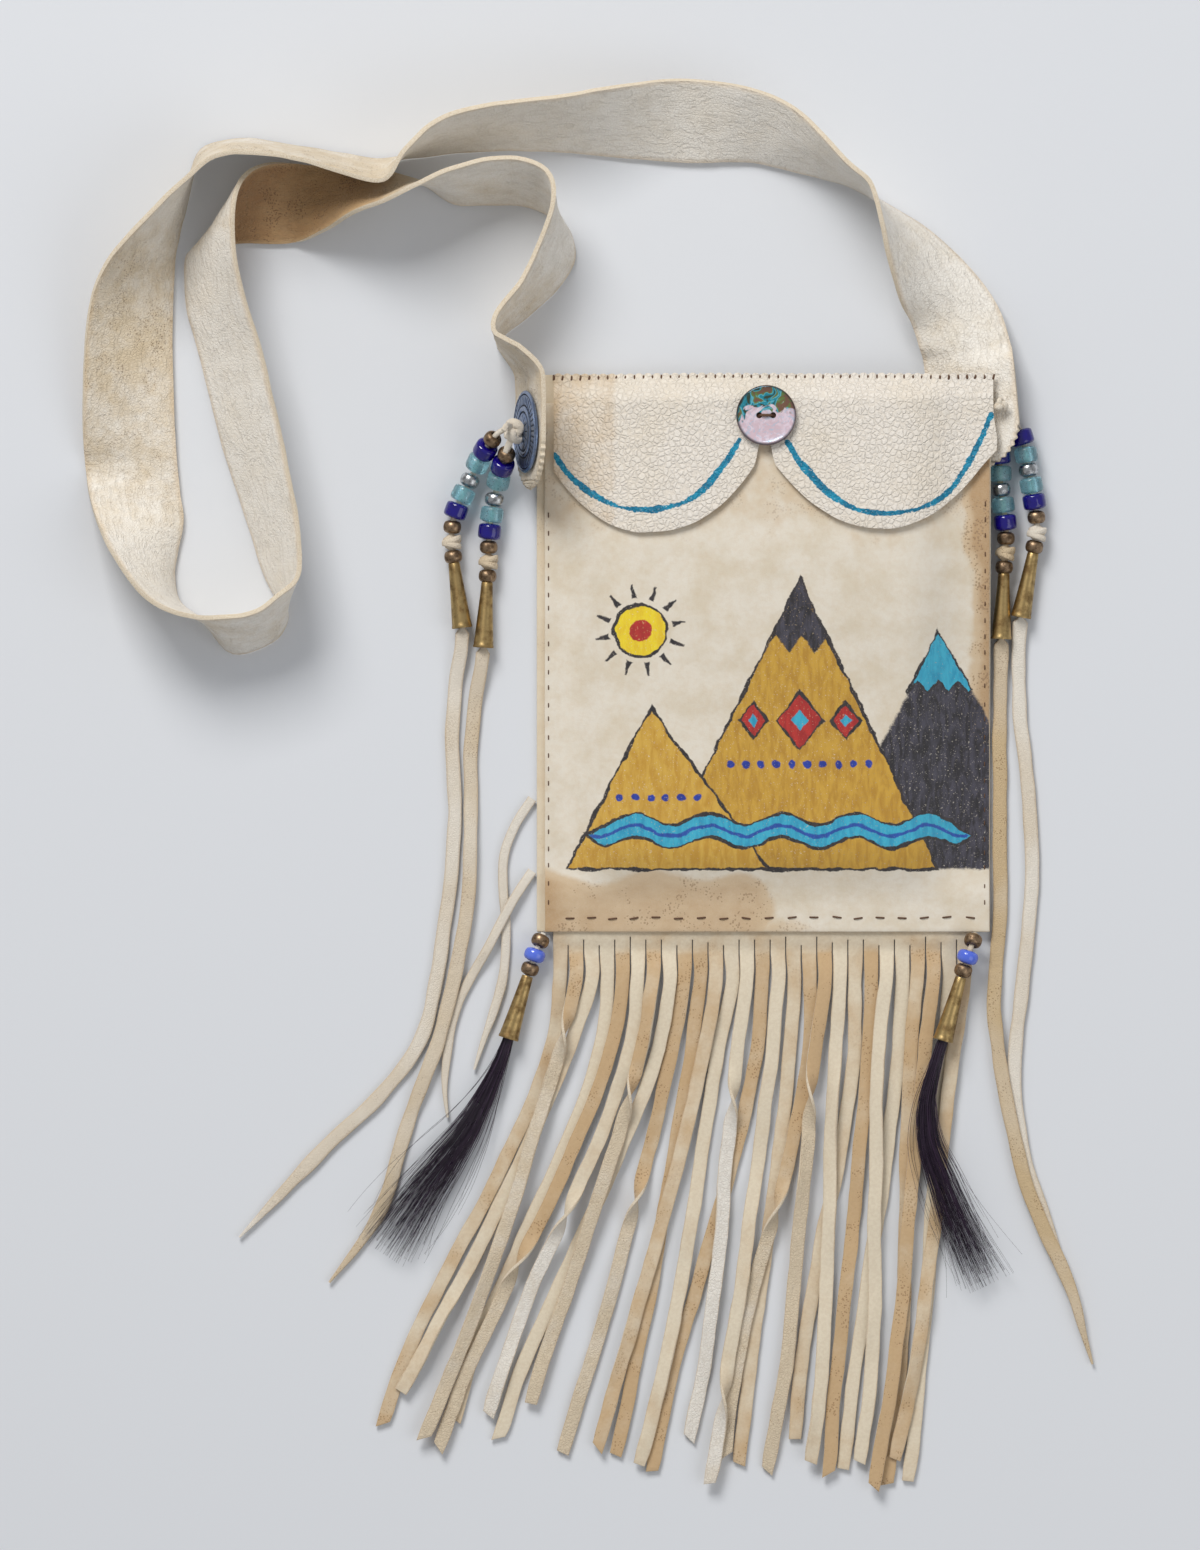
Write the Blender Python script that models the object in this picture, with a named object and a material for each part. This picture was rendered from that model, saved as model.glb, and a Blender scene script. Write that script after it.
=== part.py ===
# Fringed deerskin shoulder bag, lying on its back: +X to the bag's right, +Y towards the strap,
# +Z out of the flap. Metres. The origin is on the underside of the back panel.
import math
import random

import bmesh
import bpy
import numpy as np
from mathutils import Matrix, Vector

MM = 0.001

# Leather and clearances
PANEL_THICKNESS = 1.3 * MM
FLAP_THICKNESS = 1.4 * MM
STRAP_THICKNESS = 1.8 * MM
FRINGE_THICKNESS = 1.2 * MM
GAP = 0.35 * MM

# Bag body
BAG_WIDTH = 177.0 * MM
BAG_HEIGHT = 217.5 * MM
BOTTOM_BELOW_ORIGIN = 51.5 * MM
BACK_RIM = 3.1 * MM
MOUTH_BELOW_TOP = 11.0 * MM
SEAM_WIDTH = 7.0 * MM
POCKET_RISE = 27.0 * MM
POCKET_CROWN = 8.4 * MM
MOUTH_CROWN = 6.2 * MM
LIFT_START_Y = 12.0 * MM
LIFT_FULL_Y = 118.0 * MM
LIFT_ROWS = 8

# Flap and button
FLAP_LEFT = -BAG_WIDTH / 2 + 6.7 * MM
FLAP_RIGHT = BAG_WIDTH / 2 + 1.5 * MM
FLAP_OVER_FRONT = 0.7 * MM
CUSP_X = 0.4 * MM
CUSP_Y = 136.5 * MM
LEFT_SCALLOP = {"x": -47.0 * MM, "y": 104.3 * MM, "outer": 128.0 * MM, "power_out": 2.0, "power_in": 2.5}
RIGHT_SCALLOP = {"x": 47.8 * MM, "y": 105.6 * MM, "outer": 136.0 * MM, "power_out": 1.9, "power_in": 2.3}
BUTTON_X = 1.0 * MM
BUTTON_Y = 149.8 * MM
BUTTON_RADIUS = 11.75 * MM
BUTTON_THICKNESS = 2.6 * MM
BUTTON_HOLE_RADIUS = 1.2 * MM
BUTTON_HOLE_SPACING = 5.4 * MM
THONG_RADIUS = 0.7 * MM
THONG_GAP = 0.5 * MM

# Strap
STRAP_WIDTH = 36.0 * MM
STRAP_FLATTEST_SHARE = 0.995
STRAP_END_ROWS = 12
STRAP_RIGHT_INSIDE = 6.25 * MM
STRAP_LEFT_OUTSIDE = 2.35 * MM
CORNER_LIFT = STRAP_WIDTH / 3
STRAP_STEP = 11.0
TIE_HOLE_RADIUS = 1.6 * MM
TIE_RADIUS = 1.1 * MM
TIE_ABOVE_END = {"right": 4.0 * MM, "left": 3.8 * MM}
EDGE_KNOT_OUT = 2.9 * MM
EDGE_KNOT_ABOVE_END = 7.0 * MM

# Conchos
CONCHO_RADIUS = 16.0 * MM
CONCHO_GAP = 0.6 * MM
CONCHO_RIM = 1.0 * MM
CONCHO_DOME = 2.2 * MM

# Fringe
FRINGE_LEFT = -BAG_WIDTH / 2 + 6.2 * MM
FRINGE_RIGHT = BAG_WIDTH / 2 - 7.0 * MM
FRINGE_TUCK = 8.0 * MM
FRINGE_BAND = 7.5 * MM
STRIP_SLIT = 0.45 * MM
STRIP_STATIONS = 9
STRIP_STRAIGHT = 12.0 * MM

# Beads, cones and laces
POST_RADIUS = 1.1 * MM
BEAD_HOLE_RADIUS = 1.6 * MM
BEAD_SIDES = 8
BEAD_SPACE = 0.35 * MM
BEADS_LIE_AT = 4.8 * MM
PONY_RADIUS = 4.5 * MM
PONY_LENGTH = 6.0 * MM
METAL_BEAD_RADIUS = 3.5 * MM
METAL_BEAD_LENGTH = 4.9 * MM
CONE_LENGTH = 25.5 * MM
CONE_NECK_RADIUS = 2.2 * MM
CONE_MOUTH_RADIUS = 3.9 * MM
CONE_WALL = 0.5 * MM
KNOT_LENGTH = 5.5 * MM
KNOT_RADIUS = 3.4 * MM
LACE_WIDTH = 5.6 * MM
LACE_THICKNESS = 1.2 * MM
LACE_STATIONS = 15
THIN_LACE_WIDTH = 3.8 * MM
THIN_LACE_STATIONS = 10
HAIR_STATIONS = 8
CONE_LIES_AT = 4.2 * MM
BEADS_END_AT = 36.0 * MM
CONE_ENDS_AT = 84.0 * MM
TAIL_LIES_AT = 0.9 * MM

BAG_LEFT = -BAG_WIDTH / 2
BAG_RIGHT = BAG_WIDTH / 2
BAG_BOTTOM = -BOTTOM_BELOW_ORIGIN
BAG_TOP = BAG_HEIGHT - BOTTOM_BELOW_ORIGIN
MOUTH_Y = BAG_TOP - MOUTH_BELOW_TOP
HINGE_Y = BAG_TOP

# The strap's two edges from its right end to its left end, in millimetres: left edge x, y, right
# edge x, y, which edge is up (1 left, -1 right), height of the lower edge. The row that lies
# flattest spans STRAP_FLATTEST_SHARE of the strap's width, and the others spread in proportion.
# The rows near the two ends keep their place at the bag's sides.
STRAP_ROUTE = [
    (64.9, 147, 99.6, 147, -1, 3.9),
    (62.8, 170, 97.5, 170, -1, 3.3),
    (60.6, 177, 96.2, 178.5, 0, 7.2),
    (57.6, 186, 91.2, 192.8, 0.6, 3.6),
    (53.2, 194.2, 80.1, 207.9, 1, 1),
    (48.8, 209.9, 64.7, 221.8, 1, 1),
    (44.7, 228.5, 47.4, 232.1, 1, 1),
    (40.8, 240.2, 38.8, 237.5, 1, 1),
    (32.2, 247.7, 28.3, 241.8, 1, 1),
    (15.8, 265.6, 4.1, 248, 1, 1),
    (-0.6, 275.3, -10.3, 249.6, 1, 1),
    (-28.7, 280.4, -30.2, 249.2, 1, 1),
    (-56, 277.7, -55.2, 251.2, 1, 1),
    (-83.3, 273, -80.1, 253.5, 1, 1),
    (-106.7, 270.3, -102.8, 253.9, 1, 1),
    (-125.4, 264.8, -120.3, 253.5, 1, 1),
    (-139.4, 252.7, -138.6, 251.2, 1, 1),
    (-148, 241, -149.6, 249.6, 1, 1),
    (-163.2, 243.8, -163.2, 251.9, 1, 1),
    (-180.8, 248.8, -180, 254.7, 1, 1),
    (-200.3, 251.6, -201, 257.8, 1, 1),
    (-213.5, 249.6, -217.4, 254.7, 1, 1),
    (-222.5, 243, -222.9, 244.9, 1, 1),
    (-233.4, 233.6, -226.0, 230.3, 1, 1),
    (-247.8, 218.4, -229.0, 218.4, 1, 1),
    (-258.4, 204, -230.6, 204, 1, 1),
    (-263.4, 187.2, -231.0, 187.2, 1, 1),
    (-265, 163.8, -230.6, 163.8, 1, 1),
    (-265.4, 140.4, -229.6, 140.4, 1, 1),
    (-263.6, 122.1, -227.8, 120.9, 1, 1),
    (-259.9, 109.2, -226.4, 110, 1, 1),
    (-252.5, 94.8, -229.1, 96.7, 1, 1),
    (-241.2, 80, -230.7, 87, 1, 1),
    (-230.7, 73.7, -228, 76.4, 1, 1),
    (-219.8, 71, -217.8, 69, 1, 1),
    (-208.8, 71, -206.9, 57.7, 1, 1),
    (-197.1, 73.7, -191.7, 62, 1, 1),
    (-188.2, 80, -186.2, 70.2, 1, 1),
    (-181.9, 85.8, -187.8, 75.7, 1, 1),
    (-180.2, 94.3, -194.2, 86.9, 1, 1),
    (-181.9, 111.2, -201.4, 109.2, 1, 1),
    (-188.2, 142, -211.2, 140.4, 1, 1),
    (-195.6, 174.3, -219.6, 173.2, 1, 1),
    (-201.8, 194.2, -224.4, 191.9, 1, 1),
    (-205.3, 209.8, -225.2, 204, 1, 1),
    (-206.5, 224.2, -224.6, 212.2, 1, 1),
    (-205.3, 237.1, -220.6, 214.9, 1, 1),
    (-201.0, 244.2, -213.2, 216.5, 0.9, 1),
    (-193.6, 247.9, -202.7, 217.6, 0.65, 1),
    (-184, 248.4, -190.2, 217.2, 0.3, 1),
    (-175.6, 247.6, -180.5, 218.2, -0.15, 1),
    (-166.2, 247.2, -170.4, 222.7, -0.55, 1),
    (-155.8, 246.3, -160.0, 228.4, -0.85, 1),
    (-144.1, 244.3, -147.5, 232.6, -1, 1),
    (-132.4, 240.6, -134, 239.5, -1, 1),
    (-120.3, 233.2, -121.5, 245.7, -1, 1),
    (-108.6, 232.8, -109, 248.8, -1, 1),
    (-96.9, 232.8, -96.1, 249.2, -1, 1),
    (-89.1, 231.3, -86.8, 246.1, -1, 1),
    (-83.7, 228.9, -82.5, 240.2, -1, 1),
    (-79, 225.8, -82.1, 232.8, -1, 1),
    (-75.1, 219.6, -83.7, 225.4, -1, 1),
    (-74.7, 209.4, -88.3, 214.1, -1, 1),
    (-81.7, 199.3, -94.2, 202.4, -1, 1),
    (-92.2, 189.2, -101.2, 193.4, -1, 1),
    (-100.4, 182.9, -105.1, 186.8, -1, 1),
    (-103.5, 178.6, -104.3, 181, -1, 1),
    (-101.6, 174.4, -95.6, 176.4, -1, 1),
    (-97.0, 167.4, -87.1, 168.4, -1, 1),
    (-96, 160, -85.7, 160, -1, 1),
    (-96, 139.6, -85.7, 139.6, -1, 1),
]

# Routes of the four beaded laces in plan, in millimetres from the tied end of the strap they hang
# from: beads, knot, cone, then the flat tail.
LACE_ROUTES = {
    "left_outer": [
        (-10.55, 0.8), (-13.25, -1), (-16.85, -5.5), (-20.15, -11), (-22.65, -16.4),
        (-25.15, -21.8), (-27.75, -27), (-29.75, -32), (-30.75, -37.4), (-30.85, -42),
        (-30.45, -46.7), (-26.95, -70.9), (-27.15, -83.4), (-29.35, -98.4), (-30.65, -123.4),
        (-29.45, -147.3), (-30.65, -166.8), (-32.55, -184.4), (-36.45, -212), (-43.55, -238.2),
        (-58.35, -258.1), (-77.45, -276.4), (-99.25, -299), (-113.75, -314.2)],
    "left_inner": [
        (-7.85, -2.9), (-8.6, -6.2), (-9.95, -10.4), (-11.75, -15.6), (-13.15, -21),
        (-14.15, -26.4), (-15.15, -32.2), (-15.95, -37.3), (-16.35, -42), (-16.45, -46.3),
        (-16.55, -50.6), (-17.85, -76.3), (-19.15, -89.4), (-21.45, -103.4), (-23.35, -125.4),
        (-23.35, -155.1), (-24.35, -179.4), (-28.45, -207.4), (-36.45, -238.2), (-46.45, -265.1),
        (-51.65, -280.8), (-55.65, -296.7), (-63.25, -311.9), (-78.65, -331.8)],
    "right_outer": [
        (5.35, -0.4), (15.35, -3.6), (18.65, -9.2), (20.15, -15.6), (21.05, -21.6),
        (22.15, -27.4), (23.25, -33.4), (24.15, -39.1), (24.45, -44.6), (23.95, -49.6),
        (22.75, -54.3), (18.35, -78.8), (17.35, -93), (18.15, -119.8), (21.25, -147.1),
        (22.45, -170.5), (22.05, -193.9), (19.35, -219.6), (16.65, -242.7), (15.85, -266.4),
        (19.75, -290.6), (26.35, -310.5), (39.25, -346)],
    "right_inner": [
        (3.35, -3.3), (7.75, -9.8), (9.65, -15.4), (9.95, -20.7), (10.15, -26.4),
        (10.75, -32), (11.55, -37.9), (12.25, -43.4), (12.45, -48.8), (12.15, -53.6),
        (11.75, -58.4), (10.75, -83.5), (10.35, -97), (10.05, -127.6), (10.15, -151),
        (10.15, -174.4), (9.95, -200.9), (8.35, -220.8), (8.05, -238), (12.35, -266.4),
        (18.55, -294.9), (26.35, -316), (37.25, -340.9), (46.25, -371.3)],
}

# The left tie's inner end: how far in from the bag's left edge and how high, in millimetres.
TIE_INNER_STEPS = [(1.5, 14.2), (2.7, 9.0), (3.2, 4.6)]

# Height of each lace where it leaves its tie, how far along it has come down to lie flat,
# and how far along its first bead sits, in millimetres.
LACE_STARTS = {
    "left_outer": (17.0, 20.0, 4.0),
    "left_inner": (17.2, 20.0, 4.4),
    "right_outer": (2.6, 12.0, 6.6),
    "right_inner": (2.4, 12.0, 6.0),
}

# Routes of the thin laces, in millimetres from the bag's left edge and the origin's height.
THIN_LACE_ROUTES = {
    "thin_lace_upper": [
        (-1.75, 0.5), (-8.3, -9.7), (-13.1, -23.4), (-12.9, -37.4), (-12.1, -47.2),
        (-12.1, -58.5), (-14.1, -74.1), (-19, -88.5), (-24.4, -105.3)],
    "thin_lace_lower": [
        (-1.75, -27.8), (-10.3, -40.9), (-18, -55.8), (-27, -71.8), (-32.8, -85.8),
        (-35.9, -108.8), (-34.8, -124)],
}

# Each corner tassel: cord start, beads, cone, then the lock of hair, in millimetres from the
# bag's corner it hangs from.
TASSEL_ROUTES = {
    "corner_left": [
        (2.7, -0.5, 3.6), (1.1, -3.9, 4.4), (-0.7, -8.7, 4.7), (-2.5, -14.1, 4.5),
        (-4.1, -18.9, 4.2), (-11.5, -42.9, 4.2), (-18, -59.5, 3.4), (-28.7, -79.2, 3.2),
        (-43.7, -99.7, 3.2), (-60.8, -125, 3.2)],
    "corner_right": [
        (-5.9, -0.6, 5.4), (-7, -4.1, 7.6), (-8.7, -9.1, 7.8), (-10.5, -14.5, 7.8),
        (-11.9, -19.1, 7.6), (-18.7, -43.1, 7.2), (-23.9, -60.5, 6), (-25.1, -76.9, 5),
        (-20.1, -93.6, 5), (-12.1, -114.5, 5), (-1.2, -137.9, 5)],
}

# Tips of the fringe's strips from left to right, in millimetres.
STRIP_TIPS = [
    (-148.4, -243.8), (-132.4, -249.2), (-141.8, -230.9), (-120.3, -242.2), (-126.9, -253.1),
    (-107.1, -240.2), (-91.1, -235.6), (-103.9, -249.2), (-78.2, -255.1), (-57.9, -255.8),
    (-65.0, -253.1), (-48.9, -259.4), (-28.7, -249.6), (-43.5, -262.1), (-20.9, -266.8),
    (-9.2, -259.4), (-14.6, -256.2), (1.4, -262.1), (18.9, -258.6), (12.2, -249.6),
    (25.2, -263.2), (37.6, -258.6), (31.2, -261.3), (48.6, -267.2), (43.0, -268.3),
    (56.4, -266), (51.3, -257.4)]


def clear_scene():
    for thing in list(bpy.data.objects):
        bpy.data.objects.remove(thing, do_unlink=True)


def make_material(name, colour, roughness, metallic=0.0):
    material = bpy.data.materials.new(name)
    material.use_nodes = True
    shader = material.node_tree.nodes["Principled BSDF"]
    shader.inputs["Base Color"].default_value = (*colour, 1.0)
    shader.inputs["Roughness"].default_value = roughness
    shader.inputs["Metallic"].default_value = metallic
    return material


def smooth_step(value):
    value = min(max(value, 0.0), 1.0)
    return value * value * (3.0 - 2.0 * value)


def add_object(name, points, faces, material):
    mesh = bpy.data.meshes.new(name)
    mesh.from_pydata([tuple(point) for point in points], [], faces)
    work = bmesh.new()
    work.from_mesh(mesh)
    bmesh.ops.recalc_face_normals(work, faces=work.faces)
    work.to_mesh(mesh)
    work.free()
    mesh.materials.append(material)
    mesh.shade_smooth()
    mesh.set_sharp_from_angle(angle=math.radians(40))
    body = bpy.data.objects.new(name, mesh)
    bpy.context.scene.collection.objects.link(body)
    return body


def set_origin(body, origin):
    body.data.transform(Matrix.Translation(-Vector(origin)))
    body.location = origin


def point_normals(points, faces):
    normals = np.zeros_like(points)
    for first, second, third in faces:
        area = np.cross(points[second] - points[first], points[third] - points[first])
        for index in (first, second, third):
            normals[index] += area
    return normals / np.linalg.norm(normals, axis=1)[:, None]


def thicken(points, faces, thickness):
    """Close a sheet: its points moved half the thickness to each side, its free edges walled."""
    points = np.array(points, dtype=float)
    faces = [(a, b, c) for a, b, c, _ in faces] + [(a, c, d) for a, _, c, d in faces]
    offset = point_normals(points, faces) * thickness / 2
    count = len(points)
    closed = [tuple(face) for face in faces]
    closed += [tuple(index + count for index in reversed(face)) for face in faces]
    edges = set()
    for face in faces:
        for here, there in zip(face, face[1:] + face[:1]):
            edges.add((here, there))
    for here, there in sorted(edges):
        if (there, here) not in edges:
            closed.append((there, here, here + count, there + count))
    return np.vstack([points + offset, points - offset]), closed


def grid_faces(rows, columns):
    faces = []
    for row in range(rows - 1):
        for column in range(columns - 1):
            start = row * columns + column
            faces.append((start, start + columns, start + columns + 1, start + 1))
    return faces


def curve_through(points, longest_step):
    """A Catmull-Rom curve that keeps the given points, with no step longer than the one given."""
    points = np.array(points, dtype=float)
    padded = np.vstack([2 * points[0] - points[1], points, 2 * points[-1] - points[-2]])
    fine = []
    for index in range(len(points) - 1):
        before, start, end, after = padded[index:index + 4]
        steps = int(np.ceil(np.linalg.norm((end - start)[:2]) / longest_step))
        for step in range(steps):
            t = step / steps
            fine.append(0.5 * (2 * start + (end - before) * t
                               + (2 * before - 5 * start + 4 * end - after) * t * t
                               + (3 * start - before - 3 * end + after) * t ** 3))
    fine.append(points[-1])
    return np.array(fine)


def smooth_path(points, count):
    """Points at even steps along the curve through the given ones."""
    fine = curve_through(points, 0.7 * MM)
    lengths = np.concatenate([[0], np.cumsum(np.linalg.norm(np.diff(fine, axis=0), axis=1))])
    wanted = np.linspace(0, lengths[-1], count)
    return np.column_stack([np.interp(wanted, lengths, fine[:, axis]) for axis in range(fine.shape[1])])


def path_lengths(path):
    return np.concatenate([[0], np.cumsum(np.linalg.norm(np.diff(path[:, :3], axis=0), axis=1))])


def point_at(path, lengths, distance):
    return np.array([np.interp(distance, lengths, path[:, axis]) for axis in range(3)])


class Pile:
    """Heights of what already lies on the resting surface, on a fine square grid."""

    def __init__(self):
        self.cell = 0.5 * MM
        self.corner = np.array([-230.0 * MM, -300.0 * MM])
        self.tops = np.zeros((800, 800))

    def window(self, x, y, reach):
        low = np.floor((np.array([x, y]) - reach - self.corner) / self.cell).astype(int)
        high = np.floor((np.array([x, y]) + reach - self.corner) / self.cell).astype(int) + 1
        low = np.clip(low, 0, 799)
        high = np.clip(high, 1, 800)
        return slice(low[0], high[0]), slice(low[1], high[1])

    def under(self, x, y, reach):
        return float(self.tops[self.window(x, y, reach)].max())

    def cover(self, x, y, reach, top):
        area = self.window(x, y, reach)
        self.tops[area] = np.maximum(self.tops[area], top)


def limit_slope(heights, lengths, slope):
    for index in range(1, len(heights)):
        step = slope * (lengths[index] - lengths[index - 1])
        heights[index] = max(heights[index], heights[index - 1] - step)
    for index in range(len(heights) - 2, -1, -1):
        step = slope * (lengths[index + 1] - lengths[index])
        heights[index] = max(heights[index], heights[index + 1] - step)
    return heights


def lay_over(pile, stations, half_widths, half_thicknesses, first, slope=0.32):
    """Raise a strip's stations from the first one on until it clears what lies below it."""
    lengths = path_lengths(stations)
    fine_lengths = np.arange(0.0, lengths[-1], 1.0 * MM)
    fine = np.column_stack([np.interp(fine_lengths, lengths, stations[:, axis]) for axis in range(2)])
    half_width = np.interp(fine_lengths, lengths, half_widths)
    half_thickness = np.interp(fine_lengths, lengths, half_thicknesses)
    needed = np.zeros(len(fine))
    for index in range(len(fine)):
        below = pile.under(fine[index][0], fine[index][1], half_width[index] + GAP)
        if below > 0 and fine_lengths[index] > lengths[first]:
            needed[index] = below + GAP + half_thickness[index]
    laid = stations.copy()
    for index in range(first, len(stations)):
        start = lengths[max(index - 1, first)] - MM
        end = lengths[min(index + 1, len(stations) - 1)] + MM
        near = (fine_lengths >= start) & (fine_lengths <= end)
        laid[index, 2] = max(laid[index, 2], needed[near].max())
    laid[first:, 2] = limit_slope(laid[first:, 2], lengths[first:], slope)
    fine_heights = np.interp(fine_lengths, lengths, laid[:, 2])
    for index in range(len(fine)):
        top = fine_heights[index] + half_thickness[index]
        pile.cover(fine[index][0], fine[index][1], half_width[index], top)
    return laid


def corner_lift(x, y):
    """The bag's top right corner lies over the strap's end, so the panels rise towards it."""
    across = min(max((x - BAG_LEFT) / BAG_WIDTH, 0.0), 1.03)
    along = smooth_step((y - LIFT_START_Y) / (LIFT_FULL_Y - LIFT_START_Y))
    return CORNER_LIFT * across * along


def back_height(x, y):
    return PANEL_THICKNESS / 2 + corner_lift(x, y)


def front_height(x, y):
    """Mid-surface of the front panel: a flat seam all round, then the pocket's crown."""
    seam_step = FRINGE_THICKNESS + GAP
    rise = seam_step * (1.0 - smooth_step((y - BAG_BOTTOM - FRINGE_TUCK - 4.0 * MM) / (16.0 * MM)))
    base = back_height(x, y) + PANEL_THICKNESS + GAP + rise
    from_side = BAG_WIDTH / 2 - BACK_RIM - SEAM_WIDTH - abs(x)
    from_bottom = y - BAG_BOTTOM - SEAM_WIDTH - 3.0 * MM
    side = 1.0 - (1.0 - smooth_step(from_side / POCKET_RISE)) ** 1.3
    bottom = 1.0 - (1.0 - smooth_step(from_bottom / POCKET_RISE)) ** 1.3
    towards_mouth = smooth_step((y - 60.0 * MM) / (MOUTH_Y - 60.0 * MM))
    crown = POCKET_CROWN + (MOUTH_CROWN - POCKET_CROWN) * towards_mouth
    return base + (crown - rise) * side * bottom


def flap_height(x, y):
    """Mid-surface of the flap: over the front panel, then down to the top edge it is sewn to."""
    half_leather = (PANEL_THICKNESS + FLAP_THICKNESS) / 2
    over_front = front_height(x, min(y, MOUTH_Y)) + half_leather + FLAP_OVER_FRONT
    at_hinge = back_height(x, HINGE_Y) + half_leather + GAP
    blend = smooth_step((y - MOUTH_Y - GAP) / (HINGE_Y - MOUTH_Y - GAP))
    return over_front + (at_hinge - over_front) * blend


def add_sheet(name, height, x_values, y_ranges, thickness, material):
    """A leather sheet over columns at x_values, each running from a low to a high y."""
    points = []
    rows = 0
    for x, y_values in zip(x_values, y_ranges):
        rows = len(y_values)
        for y in y_values:
            points.append((x, y, height(x, y)))
    points, faces = thicken(points, grid_faces(len(x_values), rows), thickness)
    return add_object(name, points, faces, material)


def spread(start, end, count):
    return [start + (end - start) * index / (count - 1) for index in range(count)]


def hinge_point():
    """Middle of the seam along the bag's top edge, about which the flap swings."""
    return (0.0, HINGE_Y, flap_height(0.0, HINGE_Y))


def make_back_panel(material):
    columns = spread(BAG_LEFT, BAG_RIGHT, 7)
    rows = [BAG_BOTTOM] + spread(LIFT_START_Y, LIFT_FULL_Y, LIFT_ROWS) + [MOUTH_Y, BAG_TOP]
    return add_sheet("back_panel", back_height, columns, [rows] * len(columns), PANEL_THICKNESS, material)


def make_front_panel(material):
    half = BAG_WIDTH / 2 - BACK_RIM
    seam = half - SEAM_WIDTH
    side = [-half, -seam] + [-seam + POCKET_RISE * part for part in (0.2, 0.45, 0.7, 1.0)]
    columns = side + [-18 * MM, 18 * MM] + [-x for x in reversed(side)]
    seam_top = BAG_BOTTOM + SEAM_WIDTH + 3.0 * MM
    rows = [BAG_BOTTOM, seam_top] + [seam_top + POCKET_RISE * part for part in (0.2, 0.45, 0.7, 1.0)]
    rows += spread(LIFT_START_Y, LIFT_FULL_Y, LIFT_ROWS) + spread(LIFT_FULL_Y, MOUTH_Y, 3)[1:]
    return add_sheet("front_panel", front_height, columns, [rows] * len(columns), PANEL_THICKNESS, material)


def flap_outline(x):
    """Lower edge of the flap: two scallops that meet at the cusp."""
    left = x < CUSP_X
    scallop = LEFT_SCALLOP if left else RIGHT_SCALLOP
    outer_x = FLAP_LEFT if left else FLAP_RIGHT
    outward = (x < scallop["x"]) if left else (x > scallop["x"])
    if outward:
        share = abs(x - scallop["x"]) / abs(outer_x - scallop["x"])
        return scallop["y"] + (scallop["outer"] - scallop["y"]) * share ** scallop["power_out"]
    share = abs(x - scallop["x"]) / abs(CUSP_X - scallop["x"])
    return scallop["y"] + (CUSP_Y - scallop["y"]) * share ** scallop["power_in"]


def make_flap(material):
    left = LEFT_SCALLOP["x"]
    right = RIGHT_SCALLOP["x"]
    columns = spread(FLAP_LEFT, left, 6) + spread(left, CUSP_X, 8)[1:]
    columns += spread(CUSP_X, right, 8)[1:] + spread(right, FLAP_RIGHT, 6)[1:]
    ranges = []
    for x in columns:
        low = flap_outline(x)
        rows = spread(low, MOUTH_Y + GAP, 5) + spread(MOUTH_Y + GAP, HINGE_Y, 5)[1:]
        ranges.append(rows)
    flap = add_sheet("flap", flap_height, columns, ranges, FLAP_THICKNESS, material)
    set_origin(flap, hinge_point())
    return flap


def revolve(profile, sides):
    """Closed ring of (distance along the axis, radius) points turned about the local Z axis."""
    points = []
    for along, radius in profile:
        for side in range(sides):
            angle = 2 * math.pi * side / sides
            points.append((radius * math.cos(angle), radius * math.sin(angle), along))
    faces = []
    rings = len(profile)
    for ring in range(rings):
        above = (ring + 1) % rings
        for side in range(sides):
            beside = (side + 1) % sides
            faces.append((ring * sides + side, ring * sides + beside, above * sides + beside, above * sides + side))
    return points, faces


def revolve_solid(profile, sides):
    """A turned solid with no bore: its first and last rings are closed by flat caps."""
    points, faces = revolve(profile, sides)
    faces = faces[:-sides]
    faces.append(tuple(reversed(range(sides))))
    last = (len(profile) - 1) * sides
    faces.append(tuple(range(last, last + sides)))
    return points, faces


def placed(points, matrix):
    return [matrix @ Vector(point) for point in points]


def axis_matrix(centre, direction):
    """Local Z along direction, at centre."""
    turn = Vector(direction).normalized().to_track_quat("Z", "Y").to_matrix().to_4x4()
    return Matrix.Translation(Vector(centre)) @ turn


def add_cutter(target, name, centre, direction, radius, length):
    points, faces = revolve_solid([(-length / 2, radius), (length / 2, radius)], 12)
    cutter = add_object(name, placed(points, axis_matrix(centre, direction)), faces, target.data.materials[0])
    cutter.hide_render = True
    cutter.display_type = "WIRE"
    cut = target.modifiers.new(name, "BOOLEAN")
    cut.operation = "DIFFERENCE"
    cut.object = cutter


def spread_route():
    """The strap's rows with their edges set apart by its width and its ends at the bag's sides."""
    rows = np.array(STRAP_ROUTE, dtype=float)
    middles = (rows[:, 0:2] + rows[:, 2:4]) / 2
    halves = (rows[:, 2:4] - rows[:, 0:2]) / 2
    flattest = 2 * np.linalg.norm(halves, axis=1).max()
    halves *= STRAP_WIDTH / MM * STRAP_FLATTEST_SHARE / flattest
    right_shift = (BAG_RIGHT - STRAP_RIGHT_INSIDE) / MM - middles[0][0]
    left_shift = (BAG_LEFT - STRAP_LEFT_OUTSIDE) / MM - middles[-1][0]
    last = len(rows) - 1
    for index in range(len(rows)):
        at_right = smooth_step(1.0 - index / STRAP_END_ROWS)
        at_left = smooth_step(1.0 - (last - index) / STRAP_END_ROWS)
        middles[index][0] += right_shift * at_right + left_shift * at_left
    return np.column_stack([middles - halves, middles + halves, rows[:, 4:]])


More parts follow.
